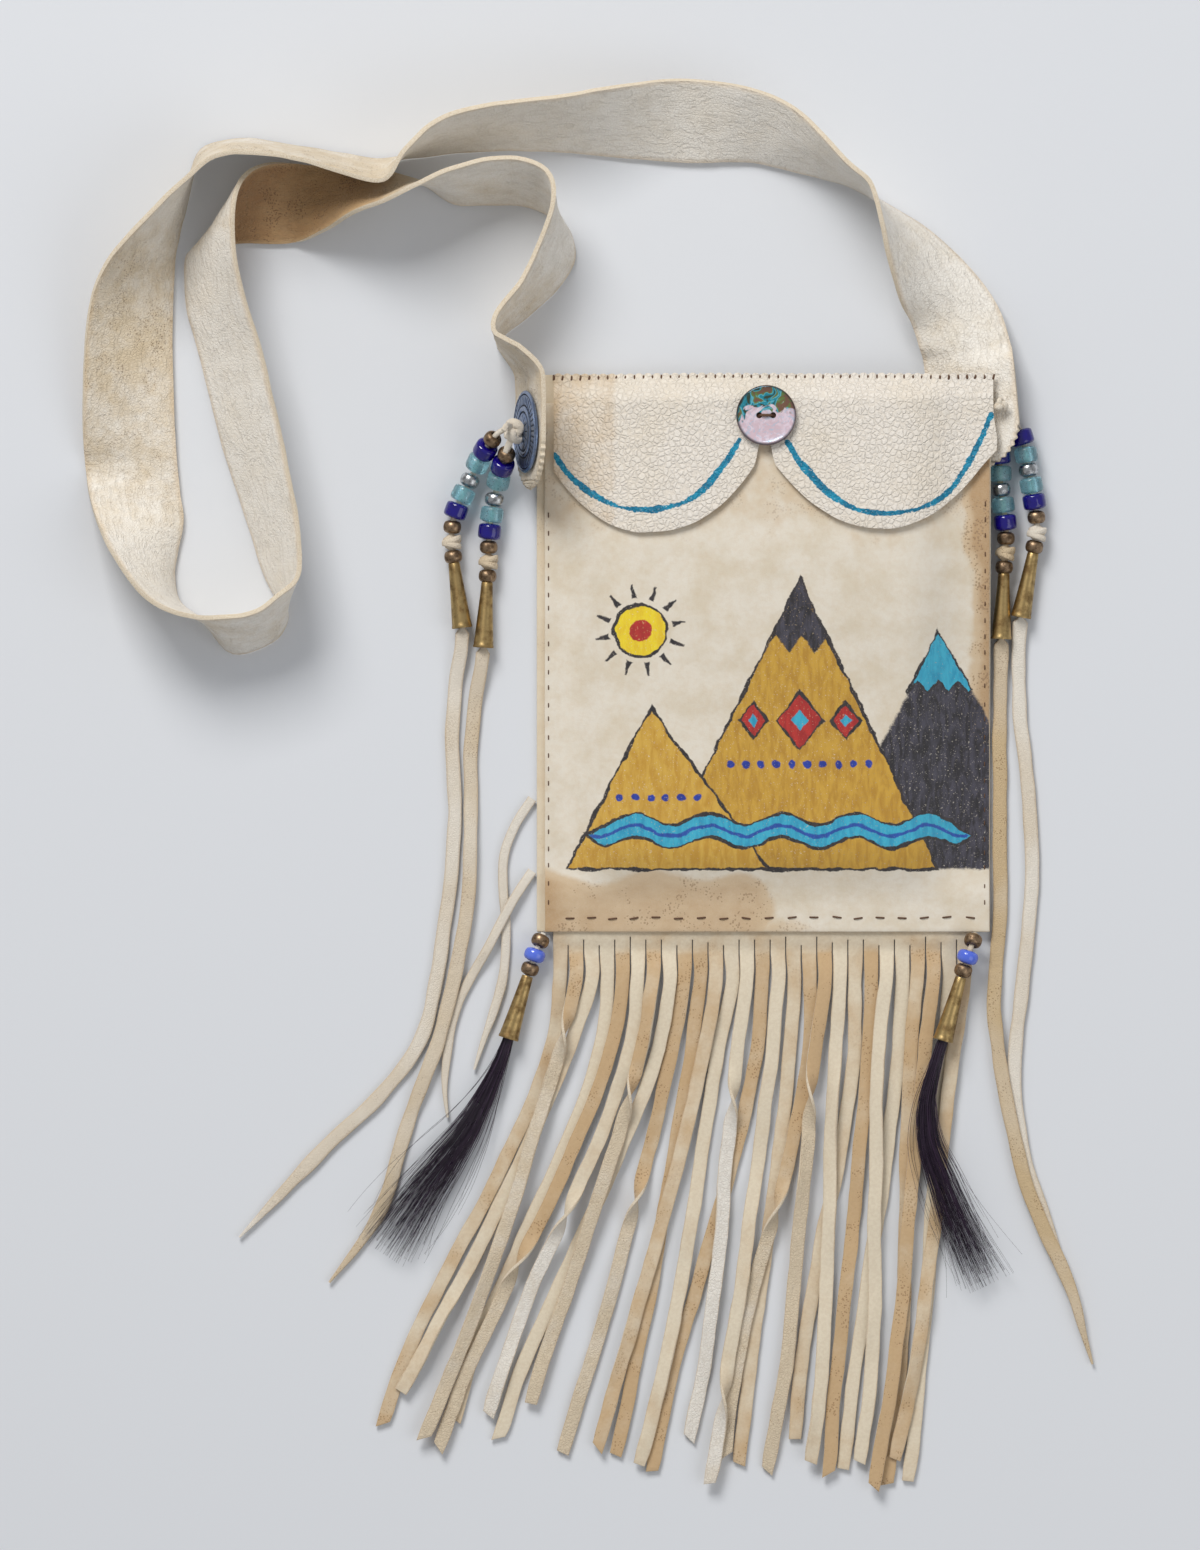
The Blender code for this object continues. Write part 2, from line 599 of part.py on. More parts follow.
def strap_rulings():
    """Left and right edge points of the strap, then the half circles that round its two ends."""
    samples = curve_through(spread_route(), STRAP_STEP) * np.array([MM, MM, MM, MM, 1, MM])
    lefts = []
    rights = []
    for left_x, left_y, right_x, right_y, side, base in samples:
        plan = math.hypot(left_x - right_x, left_y - right_y)
        rise = min(max(side, -1.0), 1.0) * math.sqrt(max(STRAP_WIDTH ** 2 - plan ** 2, 0.0))
        lefts.append((left_x, left_y, base + max(rise, 0.0)))
        rights.append((right_x, right_y, base + max(-rise, 0.0)))
    lefts = np.array(lefts)
    rights = np.array(rights)
    start = round_end(lefts[0], rights[0], np.array([0.0, -1.0, 0.0]))
    finish = round_end(lefts[-1], rights[-1], np.array([0.0, -1.0, 0.0]))
    lefts = np.vstack([start[0][::-1], lefts, finish[0]])
    rights = np.vstack([start[1][::-1], rights, finish[1]])
    return lefts, rights


def round_end(left, right, outward):
    centre = (left + right) / 2
    half = (right - left) / 2
    angles = [math.radians(degrees) for degrees in (22, 42, 60, 75, 86)]
    reach = STRAP_WIDTH / 2
    left_side = [centre + outward * reach * math.sin(angle) - half * math.cos(angle) for angle in angles]
    right_side = [centre + outward * reach * math.sin(angle) + half * math.cos(angle) for angle in angles]
    return np.array(left_side), np.array(right_side)


def strap_end_frame(which):
    """Middle of the strap near one end and the direction its outer side faces."""
    rows = spread_route()
    left_x, left_y, right_x, _, _, base = rows[0] if which == "right" else rows[-1]
    plan = (right_x - left_x) * MM
    rise = math.sqrt(STRAP_WIDTH ** 2 - plan ** 2)
    middle = Vector(((left_x + right_x) / 2 * MM, left_y * MM + TIE_ABOVE_END[which], base * MM + rise / 2))
    if which == "right":
        outer = Vector((rise, 0.0, -plan))
    else:
        outer = Vector((-rise, 0.0, plan))
    return middle, outer.normalized()


def make_strap(material):
    lefts, rights = strap_rulings()
    points = []
    for left, right in zip(lefts, rights):
        points += [left, (left + right) / 2, right]
    points, faces = thicken(points, grid_faces(len(lefts), 3), STRAP_THICKNESS)
    strap = add_object("strap", points, faces, material)
    for which in TIE_ABOVE_END:
        middle, outer = strap_end_frame(which)
        add_cutter(strap, "strap_hole_" + which, middle, outer, TIE_HOLE_RADIUS, 10 * MM)
    return strap


def make_concho(which, material):
    """Domed disc with raised rings on the strap's outer side, bored for its tie."""
    middle, outer = strap_end_frame(which)
    seat = middle + outer * (STRAP_THICKNESS / 2 + CONCHO_GAP)
    dome = CONCHO_DOME - CONCHO_RIM
    radius = CONCHO_RADIUS
    profile = [
        (0.0, TIE_HOLE_RADIUS),
        (0.0, radius),
        (CONCHO_RIM, radius),
        (CONCHO_RIM + 0.2 * dome, radius * 0.92),
        (CONCHO_RIM - 0.1 * dome, radius * 0.85),
        (CONCHO_RIM + 0.45 * dome, radius * 0.62),
        (CONCHO_RIM + 0.7 * dome, radius * 0.56),
        (CONCHO_RIM + 0.55 * dome, radius * 0.5),
        (CONCHO_DOME, radius * 0.22),
        (CONCHO_DOME, TIE_HOLE_RADIUS),
    ]
    points, faces = revolve(profile, 20)
    return add_object("concho_" + which, placed(points, axis_matrix(seat, outer)), faces, material)


def tube(stations, half_widths, half_thicknesses, sides):
    """Closed tube with an elliptical section that stays level, and rounded-off flat ends."""
    points = []
    count = len(stations)
    for index, centre in enumerate(stations):
        before = stations[max(index - 1, 0)]
        after = stations[min(index + 1, count - 1)]
        along = Vector(after - before).normalized()
        across = along.cross(Vector((0, 0, 1)))
        if across.length < 0.2:
            across = along.cross(Vector((0, 1, 0)))
        across.normalize()
        upward = across.cross(along).normalized()
        for side in range(sides):
            angle = 2 * math.pi * (side + 0.5) / sides
            point = Vector(centre) + across * (half_widths[index] * math.cos(angle))
            points.append(point + upward * (half_thicknesses[index] * math.sin(angle)))
    faces = []
    for ring in range(count - 1):
        for side in range(sides):
            beside = (side + 1) % sides
            start = ring * sides
            faces.append((start + side, start + beside, start + sides + beside, start + sides + side))
    faces.append(tuple(reversed(range(sides))))
    faces.append(tuple(range((count - 1) * sides, count * sides)))
    return points, faces


def make_tie(which, inner_steps, knot_out, material):
    """Knotted thong through the concho and the strap: knot outside, its end towards the bag."""
    middle, outer = strap_end_frame(which)
    face = STRAP_THICKNESS / 2 + CONCHO_GAP + CONCHO_DOME
    path = []
    radii = []
    for along, radius in knot_out:
        path.append(np.array(middle + outer * (face + along * MM)))
        radii.append(radius * MM)
    path.append(np.array(middle - outer * (STRAP_THICKNESS / 2 + 0.5 * MM)))
    radii.append(TIE_RADIUS)
    for inwards, height in inner_steps:
        path.append(np.array([BAG_LEFT + inwards * MM, middle.y, height * MM]))
        radii.append(TIE_RADIUS)
    points, faces = tube(np.array(path), radii, radii, 8)
    return add_object("tie_" + which, points, faces, material)


BEAD_KINDS = {
    "bronze": (METAL_BEAD_RADIUS, METAL_BEAD_LENGTH),
    "silver": (METAL_BEAD_RADIUS + 0.3 * MM, METAL_BEAD_LENGTH + 0.3 * MM),
    "navy": (PONY_RADIUS, PONY_LENGTH),
    "aqua": (PONY_RADIUS, PONY_LENGTH),
    "periwinkle": (PONY_RADIUS - 0.3 * MM, PONY_LENGTH - 0.8 * MM),
}


def bead_profile(radius, length):
    half = length / 2
    return [
        (-half, BEAD_HOLE_RADIUS),
        (-half, radius * 0.66),
        (-half * 0.55, radius),
        (half * 0.55, radius),
        (half, radius * 0.66),
        (half, BEAD_HOLE_RADIUS),
    ]


def cone_profile(with_neck_bead):
    """Hollow brass cone along +Z from its neck; a bead may sit fixed on the neck."""
    profile = [(CONE_LENGTH, CONE_MOUTH_RADIUS - CONE_WALL), (0.0, BEAD_HOLE_RADIUS)]
    if with_neck_bead:
        length = METAL_BEAD_LENGTH
        radius = METAL_BEAD_RADIUS
        profile = [(CONE_LENGTH, CONE_MOUTH_RADIUS - CONE_WALL), (-length, BEAD_HOLE_RADIUS)]
        profile += [(-length, radius * 0.66), (-length * 0.75, radius), (-length * 0.25, radius)]
    profile += [(0.0, CONE_NECK_RADIUS), (CONE_LENGTH, CONE_MOUTH_RADIUS)]
    return profile


def thread_beads(string, path, place, order, materials, neck_bead):
    """Set beads, a knot's space and the cone one after another along the path.

    Returns where each piece begins and ends along the path, by name."""
    lengths = path_lengths(path)
    spans = []
    last_axis = None
    last_radius = 0.0
    for number, kind in enumerate(order + ["cone"], start=1):
        radius, length = BEAD_KINDS.get(kind, (KNOT_RADIUS * 0.5, KNOT_LENGTH))
        if kind == "cone":
            radius, length = (METAL_BEAD_RADIUS, CONE_LENGTH + (METAL_BEAD_LENGTH if neck_bead else 0.0))
        axis = point_at(path, lengths, place + length) - point_at(path, lengths, place)
        if last_axis is not None:
            cosine = axis.dot(last_axis) / (np.linalg.norm(axis) * np.linalg.norm(last_axis))
            place += 0.5 * (radius + last_radius) * math.acos(min(cosine, 1.0))
        start = point_at(path, lengths, place)
        end = point_at(path, lengths, place + length)
        spans.append((kind, place, place + length))
        if kind in BEAD_KINDS:
            points, faces = revolve(bead_profile(radius, length), BEAD_SIDES)
            matrix = axis_matrix((start + end) / 2, end - start)
            add_object(f"bead_{string}_{number}_{kind}", placed(points, matrix), faces, materials[kind])
        if kind == "cone":
            points, faces = revolve(cone_profile(neck_bead), BEAD_SIDES)
            matrix = axis_matrix(end - Vector(end - start).normalized() * CONE_LENGTH, end - start)
            add_object("cone_" + string, placed(points, matrix), faces, materials["brass"])
        last_axis = end - start
        last_radius = radius
        place += length + BEAD_SPACE
    return spans


STRING_ORDER = ["bronze", "navy", "aqua", "silver", "aqua", "navy", "bronze", "knot"]
TASSEL_ORDER = ["bronze", "periwinkle", "bronze"]


def beaded_path(string):
    """Route of a beaded lace with heights: down from its tie, along under beads and cone, then flat."""
    start_height, settled = (value * MM for value in LACE_STARTS[string][:2])
    end, _ = strap_end_frame(string.split("_")[0])
    path = smooth_path(np.array(LACE_ROUTES[string]) * MM + np.array([end.x, end.y]), 500)
    lengths = path_lengths(path)
    heights = []
    for distance in lengths:
        lying = BEADS_LIE_AT + (CONE_LIES_AT - BEADS_LIE_AT) * smooth_step((distance - BEADS_END_AT) / (9 * MM))
        lying += (TAIL_LIES_AT - CONE_LIES_AT) * smooth_step((distance - CONE_ENDS_AT) / (14 * MM))
        heights.append(lying + (start_height - lying) * (1.0 - smooth_step(distance / settled)))
    return np.column_stack([path, heights])


def make_beaded_lace(string, pile, materials):
    """Lace that is round where it is threaded, swollen at its knot and flat below its cone."""
    path = beaded_path(string)
    first_bead = LACE_STARTS[string][2] * MM
    spans = thread_beads(string, path, first_bead, STRING_ORDER, materials, True)
    lengths = path_lengths(path)
    steps = [0.0]
    wide = [POST_RADIUS]
    thick = [POST_RADIUS]
    for kind, start, end in spans:
        shares = [(0.0, 0.0), (1.0, 0.0)]
        if kind == "knot":
            shares = [(0.0, 0.0), (0.2, 0.8), (0.5, 1.0), (0.8, 0.8), (1.0, 0.0)]
        for share, swell in shares:
            steps.append(start + (end - start) * share)
            wide.append(POST_RADIUS + (KNOT_RADIUS - POST_RADIUS) * swell)
            thick.append(POST_RADIUS + (KNOT_RADIUS * 0.8 - POST_RADIUS) * swell)
    first_flat = len(steps)
    tail_start = steps[-1]
    total = lengths[-1]
    for step in np.linspace(tail_start + 5 * MM, total, LACE_STATIONS):
        taper = min(1.0, 0.15 + (total - step) / (40 * MM))
        blend = smooth_step((step - tail_start) / (14 * MM))
        steps.append(step)
        wide.append(POST_RADIUS + (LACE_WIDTH / 2 * taper - POST_RADIUS) * blend)
        thick.append(POST_RADIUS + (LACE_THICKNESS / 2 - POST_RADIUS) * blend)
    stations = np.array([point_at(path, lengths, step) for step in steps])
    stations = lay_over(pile, stations, wide, thick, first_flat)
    points, faces = tube(stations, wide, thick, 6)
    return add_object("lace_" + string, points, faces, materials["pale"])


def make_thin_lace(name, pile, material):
    path = smooth_path(np.array(THIN_LACE_ROUTES[name]) * MM + np.array([BAG_LEFT, 0.0]), THIN_LACE_STATIONS)
    path = np.column_stack([path, np.full(len(path), TAIL_LIES_AT)])
    lengths = path_lengths(path)
    wide = THIN_LACE_WIDTH / 2 * np.minimum(1.0, 0.25 + (lengths[-1] - lengths) / (33 * MM))
    thick = np.full(len(path), LACE_THICKNESS / 2)
    path = lay_over(pile, path, wide, thick, 1)
    points, faces = tube(path, wide, thick, 6)
    return add_object(name, points, faces, material)


def make_tassel(name, pile, materials):
    """Corner tassel: a cord from the bag's corner through beads and cone, ending in a lock of hair."""
    corner = np.array([BAG_LEFT if name == "corner_left" else BAG_RIGHT, BAG_BOTTOM, 0.0])
    path = smooth_path(np.array(TASSEL_ROUTES[name]) * MM + corner, 300)
    spans = thread_beads(name, path, 0.8 * MM, TASSEL_ORDER, materials, False)
    lengths = path_lengths(path)
    cone_start, cone_end = spans[-1][1:]
    steps = [0.0]
    for _, start, end in spans[:-1]:
        steps += [start, end]
    steps += [cone_start, cone_end - 6.0 * MM]
    wide = [POST_RADIUS] * len(steps)
    thick = [POST_RADIUS] * len(steps)
    first_hair = len(steps) + 1
    hair_steps = np.linspace(cone_end - 5.0 * MM, lengths[-1], HAIR_STATIONS)
    for step in hair_steps:
        share = (step - hair_steps[0]) / (hair_steps[-1] - hair_steps[0])
        steps.append(step)
        wide.append((2.2 + 10.5 * share ** 1.4) * MM if share < 1 else 9.0 * MM)
        thick.append((2.2 + 0.4 * share) * MM if share < 1 else 1.0 * MM)
    stations = np.array([point_at(path, lengths, step) for step in steps])
    stations = lay_over(pile, stations, wide, thick, first_hair)
    points, faces = tube(stations, wide, thick, 10)
    return add_object("hair_" + name, points, faces, materials["hair"])


def strip_path(root, tip, sway):
    """A strip hangs straight from its slit, then swings over to its tip with a slight bow."""
    straight = np.array([root[0], root[1] - STRIP_STRAIGHT])
    drop = straight[1] - tip[1]
    knee = straight + np.array([(tip[0] - straight[0]) * 0.08 + sway, -drop * 0.3])
    bend = np.array([tip[0] - (tip[0] - straight[0]) * 0.3 - sway, tip[1] + drop * 0.34])
    points = [np.array(root), straight]
    for step in range(1, STRIP_STATIONS):
        t = step / (STRIP_STATIONS - 1)
        points.append((1 - t) ** 3 * straight + 3 * t * (1 - t) ** 2 * knee
                      + 3 * t * t * (1 - t) * bend + t ** 3 * np.array(tip))
    return np.array(points)


def make_fringe(pile, material):
    """One band sewn into the bottom seam and slit into strips, which lie over one another."""
    count = len(STRIP_TIPS)
    pitch = (FRINGE_RIGHT - FRINGE_LEFT) / count
    width = pitch - STRIP_SLIT
    top_y = BAG_BOTTOM + FRINGE_TUCK
    slit_y = BAG_BOTTOM - FRINGE_BAND
    seam_z = PANEL_THICKNESS + GAP + FRINGE_THICKNESS / 2
    floor_z = FRINGE_THICKNESS / 2 + 0.1 * MM
    chance = random.Random(11)
    order = list(range(count))
    chance.shuffle(order)
    sways = [chance.uniform(-9, 9) * MM for _ in range(count)]
    strips = {}
    for number in order:
        root = (FRINGE_LEFT + pitch * (number + 0.5), slit_y)
        tip = np.array(STRIP_TIPS[number]) * MM
        plan = strip_path(root, tip, sways[number])
        stations = np.column_stack([plan, np.full(len(plan), floor_z)])
        half_widths = np.full(len(plan), width / 2)
        half_thicknesses = np.full(len(plan), FRINGE_THICKNESS / 2)
        strips[number] = lay_over(pile, stations, half_widths, half_thicknesses, 1)
    points = []
    faces = []
    edges_x = []
    for number in range(count):
        centre = FRINGE_LEFT + pitch * (number + 0.5)
        edges_x += [centre - width / 2, centre + width / 2]
    band_rows = [(top_y, seam_z), (BAG_BOTTOM - 0.5 * MM, seam_z), (slit_y, floor_z)]
    for y, z in band_rows:
        points += [(x, y, z) for x in edges_x]
    columns = len(edges_x)
    for row in range(len(band_rows) - 1):
        for column in range(columns - 1):
            start = row * columns + column
            faces.append((start, start + columns, start + columns + 1, start + 1))
    root_row = (len(band_rows) - 1) * columns
    for number in range(count):
        stations = strips[number]
        left = root_row + 2 * number
        right = left + 1
        for index in range(1, len(stations)):
            before = stations[index - 1]
            after = stations[min(index + 1, len(stations) - 1)]
            along = (after - before)[:2]
            along /= np.linalg.norm(along)
            across = np.array([-along[1], along[0]]) * width / 2
            if index == len(stations) - 1:
                across = across * 0.45
            x, y, z = stations[index]
            points.append((x - across[0], y - across[1], z))
            points.append((x + across[0], y + across[1], z))
            new_left = len(points) - 2
            faces.append((left, new_left, new_left + 1, right))
            left = new_left
            right = new_left + 1
    points, faces = thicken(points, faces, FRINGE_THICKNESS)
    return add_object("fringe", points, faces, material)


def make_button(material, thong_material):
    lift_slope = CORNER_LIFT / BAG_WIDTH
    upward = Vector((-lift_slope, 0.0, 1.0)).normalized()
    reach = BUTTON_RADIUS * 0.95
    tops = []
    for along in (-1.0, -0.5, 0.0, 0.5, 1.0):
        height = flap_height(BUTTON_X, BUTTON_Y + reach * along)
        tops.append(height)
    seat_z = max(tops) + FLAP_THICKNESS / 2 + GAP + 0.1 * MM
    seat = Vector((BUTTON_X, BUTTON_Y, seat_z))
    rim = BUTTON_RADIUS
    profile = [
        (0.3 * MM, rim * 0.55),
        (0.0, rim * 0.8),
        (0.5 * MM, rim),
        (BUTTON_THICKNESS - 0.5 * MM, rim),
        (BUTTON_THICKNESS, rim * 0.93),
        (BUTTON_THICKNESS - 0.5 * MM, rim * 0.8),
        (BUTTON_THICKNESS - 0.8 * MM, rim * 0.3),
    ]
    points, faces = revolve_solid(profile, 28)
    frame = axis_matrix(seat, upward)
    button = add_object("button", placed(points, frame), faces, material)
    set_origin(button, hinge_point())
    for side in (-1, 1):
        centre = frame @ Vector((0, 0, BUTTON_THICKNESS / 2))
        centre.x += side * BUTTON_HOLE_SPACING / 2
        add_cutter(button, f"button_hole_{side + 1}", centre, upward, BUTTON_HOLE_RADIUS, 12 * MM)
    half = BUTTON_HOLE_SPACING / 2
    top = BUTTON_THICKNESS - 0.8 * MM + THONG_GAP + THONG_RADIUS
    route = [(-half, 0.15 * MM), (-half * 0.96, top * 0.62), (-half * 0.55, top * 1.08)]
    route += [(-x, z) for x, z in reversed(route)]
    stations = np.array([frame @ Vector((0, 0, z)) + Vector((x, 0, 0)) for x, z in route])
    radii = [THONG_RADIUS] * len(route)
    points, faces = tube(stations, radii, radii, 8)
    thong = add_object("button_thong", points, faces, thong_material)
    set_origin(thong, hinge_point())
    return thong


def make_edge_knot(material):
    """Small knot at the flap's right edge: the end of the thong that ties the strap on."""
    middle, outer = strap_end_frame("right")
    x = FLAP_RIGHT + EDGE_KNOT_OUT
    y = middle.y - TIE_ABOVE_END["right"] + EDGE_KNOT_ABOVE_END
    strap_top = middle.z - (x - middle.x) * outer.x / outer.z + STRAP_THICKNESS / 2 / abs(outer.z)
    radii = [1.2 * MM, 1.3 * MM, 2.4 * MM, 2.4 * MM, 1.2 * MM]
    clear = strap_top + GAP + radii[0] * abs(outer.x / outer.z)
    stations = [(x, y, clear + rise * MM) for rise in (0.0, 1.15, 2.25, 4.05, 5.05)]
    points, faces = tube(np.array(stations), radii, radii, 8)
    return add_object("edge_knot", points, faces, material)


def build():
    clear_scene()
    cream = make_material("cream_leather", (0.80, 0.70, 0.55), 0.85)
    white = make_material("white_leather", (0.82, 0.77, 0.68), 0.75)
    tan = make_material("tan_suede", (0.66, 0.49, 0.29), 0.9)
    pale = make_material("pale_lace", (0.74, 0.62, 0.45), 0.85)
    materials = {
        "bronze": make_material("bronze_bead", (0.19, 0.14, 0.09), 0.35, 1.0),
        "silver": make_material("silver_bead", (0.6, 0.6, 0.6), 0.2, 1.0),
        "navy": make_material("navy_glass", (0.02, 0.005, 0.2), 0.1),
        "aqua": make_material("aqua_glass", (0.12, 0.5, 0.6), 0.1),
        "periwinkle": make_material("periwinkle_bead", (0.1, 0.2, 0.85), 0.2),
        "brass": make_material("aged_brass", (0.42, 0.31, 0.12), 0.35, 1.0),
        "hair": make_material("black_hair", (0.01, 0.008, 0.015), 0.45),
        "pale": pale,
    }
    nickel = make_material("concho_nickel", (0.3, 0.38, 0.5), 0.3, 1.0)
    shell = make_material("shell", (0.65, 0.55, 0.6), 0.2)

    make_back_panel(cream)
    make_front_panel(cream)
    make_flap(white)
    make_button(shell, tan)
    make_strap(white)
    make_concho("right", nickel)
    make_concho("left", nickel)
    make_tie("right", [], [(4.0, 1.6), (3.2, 3.2), (1.6, 3.4), (0.4, 1.1)], pale)
    make_tie("left", TIE_INNER_STEPS, [(6.6, 1.8), (5.2, 3.6), (2.2, 3.8), (0.4, 1.1)], pale)
    make_edge_knot(pale)

    pile = Pile()
    for name in THIN_LACE_ROUTES:
        make_thin_lace(name, pile, pale)
    make_fringe(pile, tan)
    for string in LACE_ROUTES:
        make_beaded_lace(string, pile, materials)
    for name in TASSEL_ROUTES:
        make_tassel(name, pile, materials)


build()
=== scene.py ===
import math
import random

import bmesh
import bpy
import numpy as np
from mathutils import Matrix, Vector, noise


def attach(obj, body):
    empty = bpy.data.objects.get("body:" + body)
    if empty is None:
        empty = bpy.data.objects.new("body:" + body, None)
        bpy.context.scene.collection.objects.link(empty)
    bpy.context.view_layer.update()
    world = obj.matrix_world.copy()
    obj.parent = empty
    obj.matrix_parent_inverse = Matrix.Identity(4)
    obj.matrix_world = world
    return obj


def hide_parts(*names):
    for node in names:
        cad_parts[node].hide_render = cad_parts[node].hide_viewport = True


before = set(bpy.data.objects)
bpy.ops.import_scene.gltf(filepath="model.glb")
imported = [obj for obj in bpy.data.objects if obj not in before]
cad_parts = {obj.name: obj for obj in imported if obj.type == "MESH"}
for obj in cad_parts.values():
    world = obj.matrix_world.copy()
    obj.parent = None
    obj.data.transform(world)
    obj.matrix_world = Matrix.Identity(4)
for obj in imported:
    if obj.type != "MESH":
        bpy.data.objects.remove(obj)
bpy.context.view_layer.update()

MM = 0.001

# Leather and clearances
PANEL_THICKNESS = 1.3 * MM
FLAP_THICKNESS = 1.4 * MM
STRAP_THICKNESS = 1.8 * MM
FRINGE_THICKNESS = 1.2 * MM
GAP = 0.35 * MM

# Bag body
BAG_WIDTH = 177.0 * MM
BAG_HEIGHT = 217.5 * MM
BOTTOM_BELOW_ORIGIN = 51.5 * MM
BACK_RIM = 3.1 * MM
MOUTH_BELOW_TOP = 11.0 * MM
SEAM_WIDTH = 7.0 * MM
POCKET_RISE = 27.0 * MM
POCKET_CROWN = 8.4 * MM
MOUTH_CROWN = 6.2 * MM
LIFT_START_Y = 12.0 * MM
LIFT_FULL_Y = 118.0 * MM

# Flap and button
FLAP_LEFT = -BAG_WIDTH / 2 + 6.7 * MM
FLAP_RIGHT = BAG_WIDTH / 2 + 1.5 * MM
FLAP_OVER_FRONT = 0.7 * MM
CUSP_X = 0.4 * MM
CUSP_Y = 136.5 * MM
LEFT_SCALLOP = {"x": -47.0 * MM, "y": 104.3 * MM, "outer": 128.0 * MM, "power_out": 2.0, "power_in": 2.5}
RIGHT_SCALLOP = {"x": 47.8 * MM, "y": 105.6 * MM, "outer": 136.0 * MM, "power_out": 1.9, "power_in": 2.3}
BUTTON_X = 1.0 * MM
BUTTON_Y = 149.8 * MM
BUTTON_RADIUS = 11.75 * MM
BUTTON_THICKNESS = 2.6 * MM
BUTTON_HOLE_RADIUS = 1.2 * MM
BUTTON_HOLE_SPACING = 5.4 * MM

# Strap
STRAP_WIDTH = 36.0 * MM
STRAP_FLATTEST_SHARE = 0.995
STRAP_END_ROWS = 12
STRAP_RIGHT_INSIDE = 6.25 * MM
STRAP_LEFT_OUTSIDE = 2.35 * MM
CORNER_LIFT = STRAP_WIDTH / 3
TIE_HOLE_RADIUS = 1.6 * MM
TIE_RADIUS = 1.1 * MM
TIE_ABOVE_END = {"right": 4.0 * MM, "left": 3.8 * MM}
EDGE_KNOT_OUT = 2.9 * MM
EDGE_KNOT_ABOVE_END = 7.0 * MM

# Conchos
CONCHO_RADIUS = 16.0 * MM
CONCHO_GAP = 0.6 * MM
CONCHO_RIM = 1.0 * MM
CONCHO_DOME = 2.2 * MM

# Fringe
FRINGE_LEFT = -BAG_WIDTH / 2 + 6.2 * MM
FRINGE_RIGHT = BAG_WIDTH / 2 - 7.0 * MM
FRINGE_TUCK = 8.0 * MM
FRINGE_BAND = 7.5 * MM
STRIP_SLIT = 0.45 * MM
STRIP_STATIONS = 9
STRIP_STRAIGHT = 12.0 * MM

# Beads, cones and laces
POST_RADIUS = 1.1 * MM
BEAD_HOLE_RADIUS = 1.6 * MM
BEAD_SPACE = 0.35 * MM
BEADS_LIE_AT = 4.8 * MM
PONY_RADIUS = 4.5 * MM
PONY_LENGTH = 6.0 * MM
METAL_BEAD_RADIUS = 3.5 * MM
METAL_BEAD_LENGTH = 4.9 * MM
CONE_LENGTH = 25.5 * MM
CONE_NECK_RADIUS = 2.2 * MM
CONE_MOUTH_RADIUS = 3.9 * MM
CONE_WALL = 0.5 * MM
KNOT_LENGTH = 5.5 * MM
KNOT_RADIUS = 3.4 * MM
LACE_WIDTH = 5.6 * MM
LACE_THICKNESS = 1.2 * MM
LACE_STATIONS = 15
THIN_LACE_WIDTH = 3.8 * MM
THIN_LACE_STATIONS = 10
HAIR_STATIONS = 8
CONE_LIES_AT = 4.2 * MM
BEADS_END_AT = 36.0 * MM
CONE_ENDS_AT = 84.0 * MM
TAIL_LIES_AT = 0.9 * MM

BAG_LEFT = -BAG_WIDTH / 2
BAG_RIGHT = BAG_WIDTH / 2
BAG_BOTTOM = -BOTTOM_BELOW_ORIGIN
BAG_TOP = BAG_HEIGHT - BOTTOM_BELOW_ORIGIN
MOUTH_Y = BAG_TOP - MOUTH_BELOW_TOP
HINGE_Y = BAG_TOP

